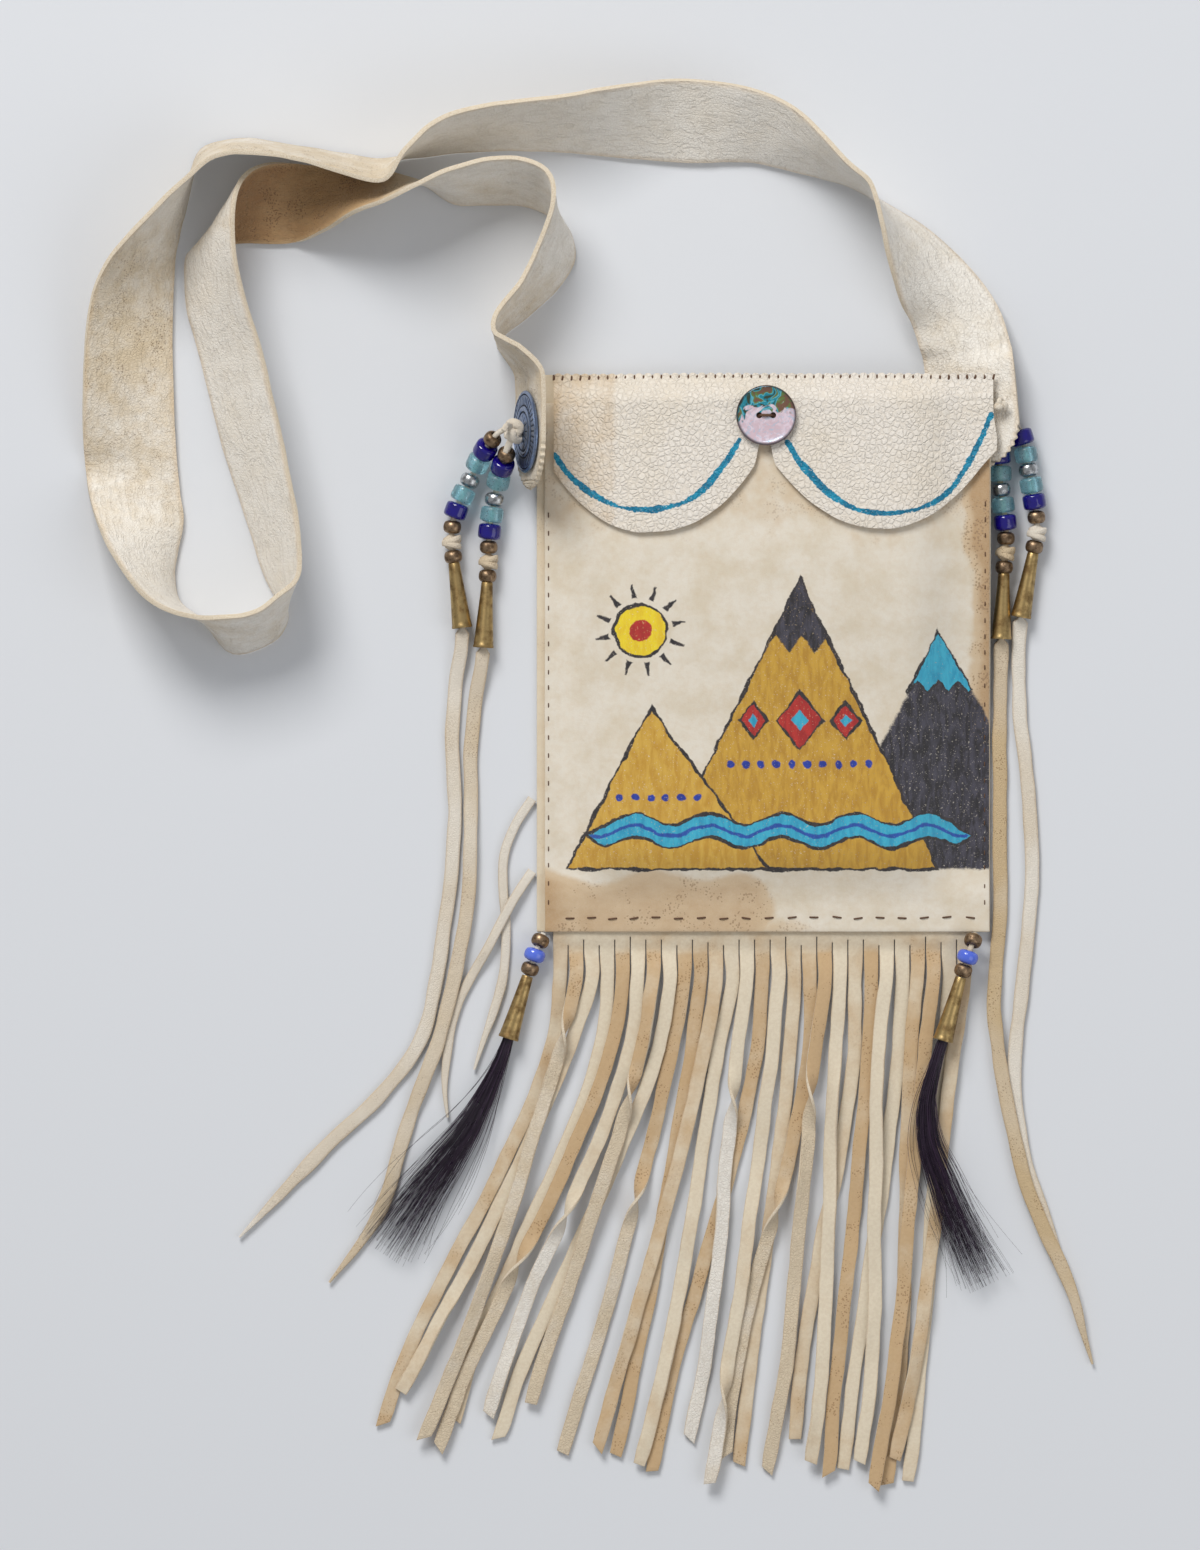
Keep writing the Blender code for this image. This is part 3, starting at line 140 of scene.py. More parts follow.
# The strap's two edges from its right end to its left end, in millimetres: left edge x, y, right
# edge x, y, which edge is up (1 left, -1 right), height of the lower edge. The row that lies
# flattest spans STRAP_FLATTEST_SHARE of the strap's width, and the others spread in proportion.
# The rows near the two ends keep their place at the bag's sides.
STRAP_ROUTE = [
    (64.9, 147, 99.6, 147, -1, 3.9),
    (62.8, 170, 97.5, 170, -1, 3.3),
    (60.6, 177, 96.2, 178.5, 0, 7.2),
    (57.6, 186, 91.2, 192.8, 0.6, 3.6),
    (53.2, 194.2, 80.1, 207.9, 1, 1),
    (48.8, 209.9, 64.7, 221.8, 1, 1),
    (44.7, 228.5, 47.4, 232.1, 1, 1),
    (40.8, 240.2, 38.8, 237.5, 1, 1),
    (32.2, 247.7, 28.3, 241.8, 1, 1),
    (15.8, 265.6, 4.1, 248, 1, 1),
    (-0.6, 275.3, -10.3, 249.6, 1, 1),
    (-28.7, 280.4, -30.2, 249.2, 1, 1),
    (-56, 277.7, -55.2, 251.2, 1, 1),
    (-83.3, 273, -80.1, 253.5, 1, 1),
    (-106.7, 270.3, -102.8, 253.9, 1, 1),
    (-125.4, 264.8, -120.3, 253.5, 1, 1),
    (-139.4, 252.7, -138.6, 251.2, 1, 1),
    (-148, 241, -149.6, 249.6, 1, 1),
    (-163.2, 243.8, -163.2, 251.9, 1, 1),
    (-180.8, 248.8, -180, 254.7, 1, 1),
    (-200.3, 251.6, -201, 257.8, 1, 1),
    (-213.5, 249.6, -217.4, 254.7, 1, 1),
    (-222.5, 243, -222.9, 244.9, 1, 1),
    (-233.4, 233.6, -226.0, 230.3, 1, 1),
    (-247.8, 218.4, -229.0, 218.4, 1, 1),
    (-258.4, 204, -230.6, 204, 1, 1),
    (-263.4, 187.2, -231.0, 187.2, 1, 1),
    (-265, 163.8, -230.6, 163.8, 1, 1),
    (-265.4, 140.4, -229.6, 140.4, 1, 1),
    (-263.6, 122.1, -227.8, 120.9, 1, 1),
    (-259.9, 109.2, -226.4, 110, 1, 1),
    (-252.5, 94.8, -229.1, 96.7, 1, 1),
    (-241.2, 80, -230.7, 87, 1, 1),
    (-230.7, 73.7, -228, 76.4, 1, 1),
    (-219.8, 71, -217.8, 69, 1, 1),
    (-208.8, 71, -206.9, 57.7, 1, 1),
    (-197.1, 73.7, -191.7, 62, 1, 1),
    (-188.2, 80, -186.2, 70.2, 1, 1),
    (-181.9, 85.8, -187.8, 75.7, 1, 1),
    (-180.2, 94.3, -194.2, 86.9, 1, 1),
    (-181.9, 111.2, -201.4, 109.2, 1, 1),
    (-188.2, 142, -211.2, 140.4, 1, 1),
    (-195.6, 174.3, -219.6, 173.2, 1, 1),
    (-201.8, 194.2, -224.4, 191.9, 1, 1),
    (-205.3, 209.8, -225.2, 204, 1, 1),
    (-206.5, 224.2, -224.6, 212.2, 1, 1),
    (-205.3, 237.1, -220.6, 214.9, 1, 1),
    (-201.0, 244.2, -213.2, 216.5, 0.9, 1),
    (-193.6, 247.9, -202.7, 217.6, 0.65, 1),
    (-184, 248.4, -190.2, 217.2, 0.3, 1),
    (-175.6, 247.6, -180.5, 218.2, -0.15, 1),
    (-166.2, 247.2, -170.4, 222.7, -0.55, 1),
    (-155.8, 246.3, -160.0, 228.4, -0.85, 1),
    (-144.1, 244.3, -147.5, 232.6, -1, 1),
    (-132.4, 240.6, -134, 239.5, -1, 1),
    (-120.3, 233.2, -121.5, 245.7, -1, 1),
    (-108.6, 232.8, -109, 248.8, -1, 1),
    (-96.9, 232.8, -96.1, 249.2, -1, 1),
    (-89.1, 231.3, -86.8, 246.1, -1, 1),
    (-83.7, 228.9, -82.5, 240.2, -1, 1),
    (-79, 225.8, -82.1, 232.8, -1, 1),
    (-75.1, 219.6, -83.7, 225.4, -1, 1),
    (-74.7, 209.4, -88.3, 214.1, -1, 1),
    (-81.7, 199.3, -94.2, 202.4, -1, 1),
    (-92.2, 189.2, -101.2, 193.4, -1, 1),
    (-100.4, 182.9, -105.1, 186.8, -1, 1),
    (-103.5, 178.6, -104.3, 181, -1, 1),
    (-101.6, 174.4, -95.6, 176.4, -1, 1),
    (-97.0, 167.4, -87.1, 168.4, -1, 1),
    (-96, 160, -85.7, 160, -1, 1),
    (-96, 139.6, -85.7, 139.6, -1, 1),
]

# Routes of the four beaded laces in plan, in millimetres from the tied end of the strap they hang
# from: beads, knot, cone, then the flat tail.
LACE_ROUTES = {
    "left_outer": [
        (-10.55, 0.8), (-13.25, -1), (-16.85, -5.5), (-20.15, -11), (-22.65, -16.4),
        (-25.15, -21.8), (-27.75, -27), (-29.75, -32), (-30.75, -37.4), (-30.85, -42),
        (-30.45, -46.7), (-26.95, -70.9), (-27.15, -83.4), (-29.35, -98.4), (-30.65, -123.4),
        (-29.45, -147.3), (-30.65, -166.8), (-32.55, -184.4), (-36.45, -212), (-43.55, -238.2),
        (-58.35, -258.1), (-77.45, -276.4), (-99.25, -299), (-113.75, -314.2)],
    "left_inner": [
        (-7.85, -2.9), (-8.6, -6.2), (-9.95, -10.4), (-11.75, -15.6), (-13.15, -21),
        (-14.15, -26.4), (-15.15, -32.2), (-15.95, -37.3), (-16.35, -42), (-16.45, -46.3),
        (-16.55, -50.6), (-17.85, -76.3), (-19.15, -89.4), (-21.45, -103.4), (-23.35, -125.4),
        (-23.35, -155.1), (-24.35, -179.4), (-28.45, -207.4), (-36.45, -238.2), (-46.45, -265.1),
        (-51.65, -280.8), (-55.65, -296.7), (-63.25, -311.9), (-78.65, -331.8)],
    "right_outer": [
        (5.35, -0.4), (15.35, -3.6), (18.65, -9.2), (20.15, -15.6), (21.05, -21.6),
        (22.15, -27.4), (23.25, -33.4), (24.15, -39.1), (24.45, -44.6), (23.95, -49.6),
        (22.75, -54.3), (18.35, -78.8), (17.35, -93), (18.15, -119.8), (21.25, -147.1),
        (22.45, -170.5), (22.05, -193.9), (19.35, -219.6), (16.65, -242.7), (15.85, -266.4),
        (19.75, -290.6), (26.35, -310.5), (39.25, -346)],
    "right_inner": [
        (3.35, -3.3), (7.75, -9.8), (9.65, -15.4), (9.95, -20.7), (10.15, -26.4),
        (10.75, -32), (11.55, -37.9), (12.25, -43.4), (12.45, -48.8), (12.15, -53.6),
        (11.75, -58.4), (10.75, -83.5), (10.35, -97), (10.05, -127.6), (10.15, -151),
        (10.15, -174.4), (9.95, -200.9), (8.35, -220.8), (8.05, -238), (12.35, -266.4),
        (18.55, -294.9), (26.35, -316), (37.25, -340.9), (46.25, -371.3)],
}

# The left tie's inner end: how far in from the bag's left edge and how high, in millimetres.
TIE_INNER_STEPS = [(1.5, 14.2), (2.7, 9.0), (3.2, 4.6)]

# Height of each lace where it leaves its tie, how far along it has come down to lie flat,
# and how far along its first bead sits, in millimetres.
LACE_STARTS = {
    "left_outer": (17.0, 20.0, 4.0),
    "left_inner": (17.2, 20.0, 4.4),
    "right_outer": (2.6, 12.0, 6.6),
    "right_inner": (2.4, 12.0, 6.0),
}

# Routes of the thin laces, in millimetres from the bag's left edge and the origin's height.
THIN_LACE_ROUTES = {
    "thin_lace_upper": [
        (-1.75, 0.5), (-8.3, -9.7), (-13.1, -23.4), (-12.9, -37.4), (-12.1, -47.2),
        (-12.1, -58.5), (-14.1, -74.1), (-19, -88.5), (-24.4, -105.3)],
    "thin_lace_lower": [
        (-1.75, -27.8), (-10.3, -40.9), (-18, -55.8), (-27, -71.8), (-32.8, -85.8),
        (-35.9, -108.8), (-34.8, -124)],
}

# Each corner tassel: cord start, beads, cone, then the lock of hair, in millimetres from the
# bag's corner it hangs from.
TASSEL_ROUTES = {
    "corner_left": [
        (2.7, -0.5, 3.6), (1.1, -3.9, 4.4), (-0.7, -8.7, 4.7), (-2.5, -14.1, 4.5),
        (-4.1, -18.9, 4.2), (-11.5, -42.9, 4.2), (-18, -59.5, 3.4), (-28.7, -79.2, 3.2),
        (-43.7, -99.7, 3.2), (-60.8, -125, 3.2)],
    "corner_right": [
        (-5.9, -0.6, 5.4), (-7, -4.1, 7.6), (-8.7, -9.1, 7.8), (-10.5, -14.5, 7.8),
        (-11.9, -19.1, 7.6), (-18.7, -43.1, 7.2), (-23.9, -60.5, 6), (-25.1, -76.9, 5),
        (-20.1, -93.6, 5), (-12.1, -114.5, 5), (-1.2, -137.9, 5)],
}

# Tips of the fringe's strips from left to right, in millimetres.
STRIP_TIPS = [
    (-148.4, -243.8), (-132.4, -249.2), (-141.8, -230.9), (-120.3, -242.2), (-126.9, -253.1),
    (-107.1, -240.2), (-91.1, -235.6), (-103.9, -249.2), (-78.2, -255.1), (-57.9, -255.8),
    (-65.0, -253.1), (-48.9, -259.4), (-28.7, -249.6), (-43.5, -262.1), (-20.9, -266.8),
    (-9.2, -259.4), (-14.6, -256.2), (1.4, -262.1), (18.9, -258.6), (12.2, -249.6),
    (25.2, -263.2), (37.6, -258.6), (31.2, -261.3), (48.6, -267.2), (43.0, -268.3),
    (56.4, -266), (51.3, -257.4)]


def smooth_step(value):
    value = min(max(value, 0.0), 1.0)
    return value * value * (3.0 - 2.0 * value)


def grid_faces(rows, columns):
    faces = []
    for row in range(rows - 1):
        for column in range(columns - 1):
            start = row * columns + column
            faces.append((start, start + columns, start + columns + 1, start + 1))
    return faces


def curve_through(points, longest_step):
    """A Catmull-Rom curve that keeps the given points, with no step longer than the one given."""
    points = np.array(points, dtype=float)
    padded = np.vstack([2 * points[0] - points[1], points, 2 * points[-1] - points[-2]])
    fine = []
    for index in range(len(points) - 1):
        before, start, end, after = padded[index:index + 4]
        steps = int(np.ceil(np.linalg.norm((end - start)[:2]) / longest_step))
        for step in range(steps):
            t = step / steps
            fine.append(0.5 * (2 * start + (end - before) * t
                               + (2 * before - 5 * start + 4 * end - after) * t * t
                               + (3 * start - before - 3 * end + after) * t ** 3))
    fine.append(points[-1])
    return np.array(fine)


def smooth_path(points, count):
    """Points at even steps along the curve through the given ones."""
    fine = curve_through(points, 0.7 * MM)
    lengths = np.concatenate([[0], np.cumsum(np.linalg.norm(np.diff(fine, axis=0), axis=1))])
    wanted = np.linspace(0, lengths[-1], count)
    return np.column_stack([np.interp(wanted, lengths, fine[:, axis]) for axis in range(fine.shape[1])])


def path_lengths(path):
    return np.concatenate([[0], np.cumsum(np.linalg.norm(np.diff(path[:, :3], axis=0), axis=1))])


def point_at(path, lengths, distance):
    return np.array([np.interp(distance, lengths, path[:, axis]) for axis in range(3)])


class Pile:
    """Heights of what already lies on the resting surface, on a fine square grid."""

    def __init__(self):
        self.cell = 0.5 * MM
        self.corner = np.array([-230.0 * MM, -300.0 * MM])
        self.tops = np.zeros((800, 800))

    def window(self, x, y, reach):
        low = np.floor((np.array([x, y]) - reach - self.corner) / self.cell).astype(int)
        high = np.floor((np.array([x, y]) + reach - self.corner) / self.cell).astype(int) + 1
        low = np.clip(low, 0, 799)
        high = np.clip(high, 1, 800)
        return slice(low[0], high[0]), slice(low[1], high[1])

    def under(self, x, y, reach):
        return float(self.tops[self.window(x, y, reach)].max())

    def cover(self, x, y, reach, top):
        area = self.window(x, y, reach)
        self.tops[area] = np.maximum(self.tops[area], top)


def limit_slope(heights, lengths, slope):
    for index in range(1, len(heights)):
        step = slope * (lengths[index] - lengths[index - 1])
        heights[index] = max(heights[index], heights[index - 1] - step)
    for index in range(len(heights) - 2, -1, -1):
        step = slope * (lengths[index + 1] - lengths[index])
        heights[index] = max(heights[index], heights[index + 1] - step)
    return heights


def lay_over(pile, stations, half_widths, half_thicknesses, first, slope=0.32):
    """Raise a strip's stations from the first one on until it clears what lies below it."""
    lengths = path_lengths(stations)
    fine_lengths = np.arange(0.0, lengths[-1], 1.0 * MM)
    fine = np.column_stack([np.interp(fine_lengths, lengths, stations[:, axis]) for axis in range(2)])
    half_width = np.interp(fine_lengths, lengths, half_widths)
    half_thickness = np.interp(fine_lengths, lengths, half_thicknesses)
    needed = np.zeros(len(fine))
    for index in range(len(fine)):
        below = pile.under(fine[index][0], fine[index][1], half_width[index] + GAP)
        if below > 0 and fine_lengths[index] > lengths[first]:
            needed[index] = below + GAP + half_thickness[index]
    laid = stations.copy()
    for index in range(first, len(stations)):
        start = lengths[max(index - 1, first)] - MM
        end = lengths[min(index + 1, len(stations) - 1)] + MM
        near = (fine_lengths >= start) & (fine_lengths <= end)
        laid[index, 2] = max(laid[index, 2], needed[near].max())
    laid[first:, 2] = limit_slope(laid[first:, 2], lengths[first:], slope)
    fine_heights = np.interp(fine_lengths, lengths, laid[:, 2])
    for index in range(len(fine)):
        top = fine_heights[index] + half_thickness[index]
        pile.cover(fine[index][0], fine[index][1], half_width[index], top)
    return laid


def corner_lift(x, y):
    """The bag's top right corner lies over the strap's end, so the panels rise towards it."""
    across = min(max((x - BAG_LEFT) / BAG_WIDTH, 0.0), 1.03)
    along = smooth_step((y - LIFT_START_Y) / (LIFT_FULL_Y - LIFT_START_Y))
    return CORNER_LIFT * across * along


def back_height(x, y):
    return PANEL_THICKNESS / 2 + corner_lift(x, y)


def front_height(x, y):
    """Mid-surface of the front panel: a flat seam all round, then the pocket's crown."""
    seam_step = FRINGE_THICKNESS + GAP
    rise = seam_step * (1.0 - smooth_step((y - BAG_BOTTOM - FRINGE_TUCK - 4.0 * MM) / (16.0 * MM)))
    base = back_height(x, y) + PANEL_THICKNESS + GAP + rise
    from_side = BAG_WIDTH / 2 - BACK_RIM - SEAM_WIDTH - abs(x)
    from_bottom = y - BAG_BOTTOM - SEAM_WIDTH - 3.0 * MM
    side = 1.0 - (1.0 - smooth_step(from_side / POCKET_RISE)) ** 1.3
    bottom = 1.0 - (1.0 - smooth_step(from_bottom / POCKET_RISE)) ** 1.3
    towards_mouth = smooth_step((y - 60.0 * MM) / (MOUTH_Y - 60.0 * MM))
    crown = POCKET_CROWN + (MOUTH_CROWN - POCKET_CROWN) * towards_mouth
    return base + (crown - rise) * side * bottom


def flap_height(x, y):
    """Mid-surface of the flap: over the front panel, then down to the top edge it is sewn to."""
    half_leather = (PANEL_THICKNESS + FLAP_THICKNESS) / 2
    over_front = front_height(x, min(y, MOUTH_Y)) + half_leather + FLAP_OVER_FRONT
    at_hinge = back_height(x, HINGE_Y) + half_leather + GAP
    blend = smooth_step((y - MOUTH_Y - GAP) / (HINGE_Y - MOUTH_Y - GAP))
    return over_front + (at_hinge - over_front) * blend


def spread(start, end, count):
    return [start + (end - start) * index / (count - 1) for index in range(count)]


def flap_outline(x):
    """Lower edge of the flap: two scallops that meet at the cusp."""
    left = x < CUSP_X
    scallop = LEFT_SCALLOP if left else RIGHT_SCALLOP
    outer_x = FLAP_LEFT if left else FLAP_RIGHT
    outward = (x < scallop["x"]) if left else (x > scallop["x"])
    if outward:
        share = abs(x - scallop["x"]) / abs(outer_x - scallop["x"])
        return scallop["y"] + (scallop["outer"] - scallop["y"]) * share ** scallop["power_out"]
    share = abs(x - scallop["x"]) / abs(CUSP_X - scallop["x"])
    return scallop["y"] + (CUSP_Y - scallop["y"]) * share ** scallop["power_in"]


def ring_faces(rings, sides):
    """Faces of a grid that closes on itself both ways."""
    faces = []
    for ring in range(rings):
        here = ring * sides
        above = (ring + 1) % rings * sides
        for side in range(sides):
            beside = (side + 1) % sides
            faces.append((here + side, here + beside, above + beside, above + side))
    return faces


def revolve(profile, sides):
    """Closed ring of (distance along the axis, radius) points turned about the local Z axis."""
    points = []
    for along, radius in profile:
        for side in range(sides):
            angle = 2 * math.pi * side / sides
            points.append((radius * math.cos(angle), radius * math.sin(angle), along))
    return points, ring_faces(len(profile), sides)


def placed(points, matrix):
    return [matrix @ Vector(point) for point in points]


def axis_matrix(centre, direction):
    """Local Z along direction, at centre."""
    turn = Vector(direction).normalized().to_track_quat("Z", "Y").to_matrix().to_4x4()
    return Matrix.Translation(Vector(centre)) @ turn


def spread_route():
    """The strap's rows with their edges set apart by its width and its ends at the bag's sides."""
    rows = np.array(STRAP_ROUTE, dtype=float)
    middles = (rows[:, 0:2] + rows[:, 2:4]) / 2
    halves = (rows[:, 2:4] - rows[:, 0:2]) / 2
    flattest = 2 * np.linalg.norm(halves, axis=1).max()
    halves *= STRAP_WIDTH / MM * STRAP_FLATTEST_SHARE / flattest
    right_shift = (BAG_RIGHT - STRAP_RIGHT_INSIDE) / MM - middles[0][0]
    left_shift = (BAG_LEFT - STRAP_LEFT_OUTSIDE) / MM - middles[-1][0]
    last = len(rows) - 1
    for index in range(len(rows)):
        at_right = smooth_step(1.0 - index / STRAP_END_ROWS)
        at_left = smooth_step(1.0 - (last - index) / STRAP_END_ROWS)
        middles[index][0] += right_shift * at_right + left_shift * at_left
    return np.column_stack([middles - halves, middles + halves, rows[:, 4:]])


def strap_end_frame(which):
    """Middle of the strap near one end and the direction its outer side faces."""
    rows = spread_route()
    left_x, left_y, right_x, _, _, base = rows[0] if which == "right" else rows[-1]
    plan = (right_x - left_x) * MM
    rise = math.sqrt(STRAP_WIDTH ** 2 - plan ** 2)
    middle = Vector(((left_x + right_x) / 2 * MM, left_y * MM + TIE_ABOVE_END[which], base * MM + rise / 2))
    if which == "right":
        outer = Vector((rise, 0.0, -plan))
    else:
        outer = Vector((-rise, 0.0, plan))
    return middle, outer.normalized()


def beaded_path(string):
    """Route of a beaded lace with heights: down from its tie, along under beads and cone, then flat."""
    start_height, settled = (value * MM for value in LACE_STARTS[string][:2])
    end, _ = strap_end_frame(string.split("_")[0])
    path = smooth_path(np.array(LACE_ROUTES[string]) * MM + np.array([end.x, end.y]), 500)
    lengths = path_lengths(path)
    heights = []
    for distance in lengths:
        onto_cone = smooth_step((distance - BEADS_END_AT) / (9 * MM))
        onto_tail = smooth_step((distance - CONE_ENDS_AT) / (14 * MM))
        lying = BEADS_LIE_AT + (CONE_LIES_AT - BEADS_LIE_AT) * onto_cone
        lying += (TAIL_LIES_AT - CONE_LIES_AT) * onto_tail
        heights.append(lying + (start_height - lying) * (1.0 - smooth_step(distance / settled)))
    return np.column_stack([path, heights])


def strip_path(root, tip, sway):
    """A strip hangs straight from its slit, then swings over to its tip with a slight bow."""
    straight = np.array([root[0], root[1] - STRIP_STRAIGHT])
    drop = straight[1] - tip[1]
    knee = straight + np.array([(tip[0] - straight[0]) * 0.08 + sway, -drop * 0.3])
    bend = np.array([tip[0] - (tip[0] - straight[0]) * 0.3 - sway, tip[1] + drop * 0.34])
    points = [np.array(root), straight]
    for step in range(1, STRIP_STATIONS):
        t = step / (STRIP_STATIONS - 1)
        points.append((1 - t) ** 3 * straight + 3 * t * (1 - t) ** 2 * knee
                      + 3 * t * t * (1 - t) * bend + t ** 3 * np.array(tip))
    return np.array(points)


BEAD_KINDS = {
    "bronze": (METAL_BEAD_RADIUS, METAL_BEAD_LENGTH),
    "silver": (METAL_BEAD_RADIUS + 0.3 * MM, METAL_BEAD_LENGTH + 0.3 * MM),
    "navy": (PONY_RADIUS, PONY_LENGTH),
    "aqua": (PONY_RADIUS, PONY_LENGTH),
    "periwinkle": (PONY_RADIUS - 0.3 * MM, PONY_LENGTH - 0.8 * MM),
}

STRING_ORDER = ["bronze", "navy", "aqua", "silver", "aqua", "navy", "bronze", "knot"]
TASSEL_ORDER = ["bronze", "periwinkle", "bronze"]


def rgb(red, green, blue):
    """An sRGB colour, 0 to 255, as the linear colour that the shaders take."""
    return tuple((value / 255 / 12.92) if value / 255 <= 0.04045 else ((value / 255 + 0.055) / 1.055) ** 2.4
                 for value in (red, green, blue))


CREAM = rgb(227, 213, 188)
WHITE = rgb(237, 230, 220)
TAN = rgb(208, 182, 146)
BROWN = rgb(178, 142, 98)
TEAL = rgb(0, 116, 152)
MUSTARD = rgb(206, 162, 62)
BLACK = rgb(40, 38, 42)
TURQUOISE = rgb(62, 178, 208)
RED = rgb(188, 50, 45)
BLUE = rgb(38, 66, 170)
YELLOW = rgb(242, 216, 44)
HILL_FOOT = -27.0


class Graph:
    """A material and short ways to add and join its nodes."""

    def __init__(self, name):
        self.material = bpy.data.materials.new(name)
        self.material.use_nodes = True
        self.tree = self.material.node_tree
        self.shader = self.tree.nodes["Principled BSDF"]
        self.place = None

    def node(self, kind, **settings):
        made = self.tree.nodes.new("ShaderNode" + kind)
        for key, value in settings.items():
            setattr(made, key, value)
        return made

    def put(self, socket, value):
        if isinstance(value, bpy.types.NodeSocket):
            self.tree.links.new(value, socket)
        elif isinstance(value, tuple) and socket.type == "RGBA":
            socket.default_value = (*value[:3], 1.0)
        else:
            socket.default_value = value

    def set(self, **values):
        for key, value in values.items():
            self.put(self.shader.inputs[key.replace("_", " ")], value)

    def math(self, operation, *values):
        made = self.node("Math", operation=operation)
        for socket, value in zip(made.inputs, values):
            self.put(socket, value)
        return made.outputs[0]

    def add(self, *values):
        total = values[0]
        for value in values[1:]:
            total = self.math("ADD", total, value)
        return total

    def times(self, *values):
        total = values[0]
        for value in values[1:]:
            total = self.math("MULTIPLY", total, value)
        return total

    def less(self, first, second):
        return self.math("SUBTRACT", first, second)

    def most(self, first, *others):
        for value in others:
            first = self.math("MAXIMUM", first, value)
        return first

    def size_of(self, x, y):
        """Length of the flat vector x, y."""
        return self.math("SQRT", self.add(self.math("POWER", x, 2.0), self.math("POWER", y, 2.0)))

    def mix(self, share, first, second):
        made = self.node("Mix", data_type="RGBA", clamp_factor=True)
        self.put(made.inputs[0], share)
        self.put(made.inputs[6], first)
        self.put(made.inputs[7], second)
        return made.outputs[2]

    def ease(self, value, low, high, start=0.0, end=1.0):
        made = self.node("MapRange", interpolation_type="SMOOTHSTEP")
        for socket, given in zip(made.inputs, (value, low, high, start, end)):
            self.put(socket, given)
        return made.outputs[0]

    def mm(self):
        """Place on the object at rest, in millimetres."""
        if self.place is None:
            scale = self.node("VectorMath", operation="SCALE")
            self.put(scale.inputs[0], self.node("TexCoord").outputs["Object"])
            scale.inputs["Scale"].default_value = 1000.0
            self.place = scale.outputs[0]
        return self.place

    def parts(self):
        made = self.node("SeparateXYZ")
        self.put(made.inputs[0], self.mm())
        return made.outputs[0], made.outputs[1], made.outputs[2]

    def joined(self, x, y, z=0.0):
        made = self.node("CombineXYZ")
        for socket, value in zip(made.inputs, (x, y, z)):
            self.put(socket, value)
        return made.outputs[0]

    def noise(self, size, detail=3.0, rough=0.5, vector=None, distortion=0.0):
        """Noise with features of about the given size in millimetres."""
        made = self.node("TexNoise")
        self.put(made.inputs["Vector"], vector or self.mm())
        made.inputs["Scale"].default_value = 1.0 / size
        made.inputs["Detail"].default_value = detail
        made.inputs["Roughness"].default_value = rough
        made.inputs["Distortion"].default_value = distortion
        return made.outputs[0]

    def ragged(self, size, detail, rough, amount):
        """Noise about zero, by which a line or a level wavers."""
        return self.times(self.less(self.noise(size, detail, rough), 0.5), amount)

    def cells(self, size, feature="F1", vector=None):
        made = self.node("TexVoronoi", feature=feature)
        self.put(made.inputs["Vector"], vector or self.mm())
        made.inputs["Scale"].default_value = 1.0 / size
        return made.outputs["Distance"]

    def attribute(self, name):
        return self.node("Attribute", attribute_name=name).outputs["Fac"]

    def bump(self, height, depth):
        """Bump of the given depth in millimetres."""
        made = self.node("Bump")
        made.inputs["Strength"].default_value = 1.0
        made.inputs["Distance"].default_value = depth * MM
        self.put(made.inputs["Height"], height)
        return made.outputs[0]


def pebble(graph, size):
    """Height of a pebbled grain: round cells of mixed size, broken up by finer noise."""
    warp = graph.node("VectorMath", operation="ADD")
    graph.put(warp.inputs[0], graph.mm())
    wobble = graph.node("TexNoise")
    graph.put(wobble.inputs["Vector"], graph.mm())
    wobble.inputs["Scale"].default_value = 0.4
    spin = graph.node("VectorMath", operation="SCALE")
    graph.put(spin.inputs[0], wobble.outputs["Color"])
    spin.inputs["Scale"].default_value = 1.6
    graph.put(warp.inputs[1], spin.outputs[0])
    edges = graph.cells(size, "DISTANCE_TO_EDGE", warp.outputs[0])
    coarse = graph.ease(edges, 0.0, 0.22)
    fine = graph.noise(0.35, 4.0, 0.6)
    return graph.add(graph.times(coarse, 0.8), graph.times(fine, 0.35))


def suede_nap(graph):
    """Height of a napped flesh side: very fine fibres over shallow unevenness."""
    fibres = graph.times(graph.noise(0.22, 5.0, 0.7), 0.7)
    return graph.add(fibres, graph.times(graph.noise(2.6, 3.0, 0.6), 0.8))


def specks(graph, size, amount):
    """Scattered dark pores, a share of the small cells."""
    near = graph.cells(size)
    patch = graph.noise(9.0, 2.0, 0.5)
    limit = graph.times(graph.ease(patch, 0.42, 0.62), amount)
    return graph.math("LESS_THAN", near, limit)


def white_grain(name, stain=None, yellow=0.35, size=1.5):
    """White grain side of the leather: pebbled, with yellow clouds, painted shade in the grain's valleys and a
    soft sheen.
    """
    graph = Graph(name)
    x, y, _ = graph.parts()
    clouds = graph.ease(graph.noise(26.0, 4.0, 0.55), 0.38, 0.7)
    colour = graph.mix(graph.times(clouds, yellow), WHITE, CREAM)
    if stain is not None:
        rough_edge = graph.add(stain(graph, x, y), graph.ragged(7.0, 4.0, 0.6, 0.55))
        colour = graph.mix(graph.ease(rough_edge, 0.25, 0.8), colour, TAN)
        colour = graph.mix(graph.ease(rough_edge, 0.85, 1.5, 0.0, 0.6), colour, BROWN)
    grain = pebble(graph, size)
    # Darker in the grain's valleys: painted shade.
    valleys = graph.ease(grain, 0.1, 0.6, 0.16, 0.0)
    colour = graph.mix(valleys, colour, rgb(206, 184, 150))
    creases = graph.noise(3.4, 5.0, 0.62, distortion=0.8)
    graph.set(Base_Color=colour, Roughness=graph.ease(grain, 0.0, 1.0, 0.72, 0.55))
    graph.set(Normal=graph.bump(graph.add(grain, graph.times(creases, 2.2)), 0.34))
    graph.set(Sheen_Weight=0.08)
    return graph


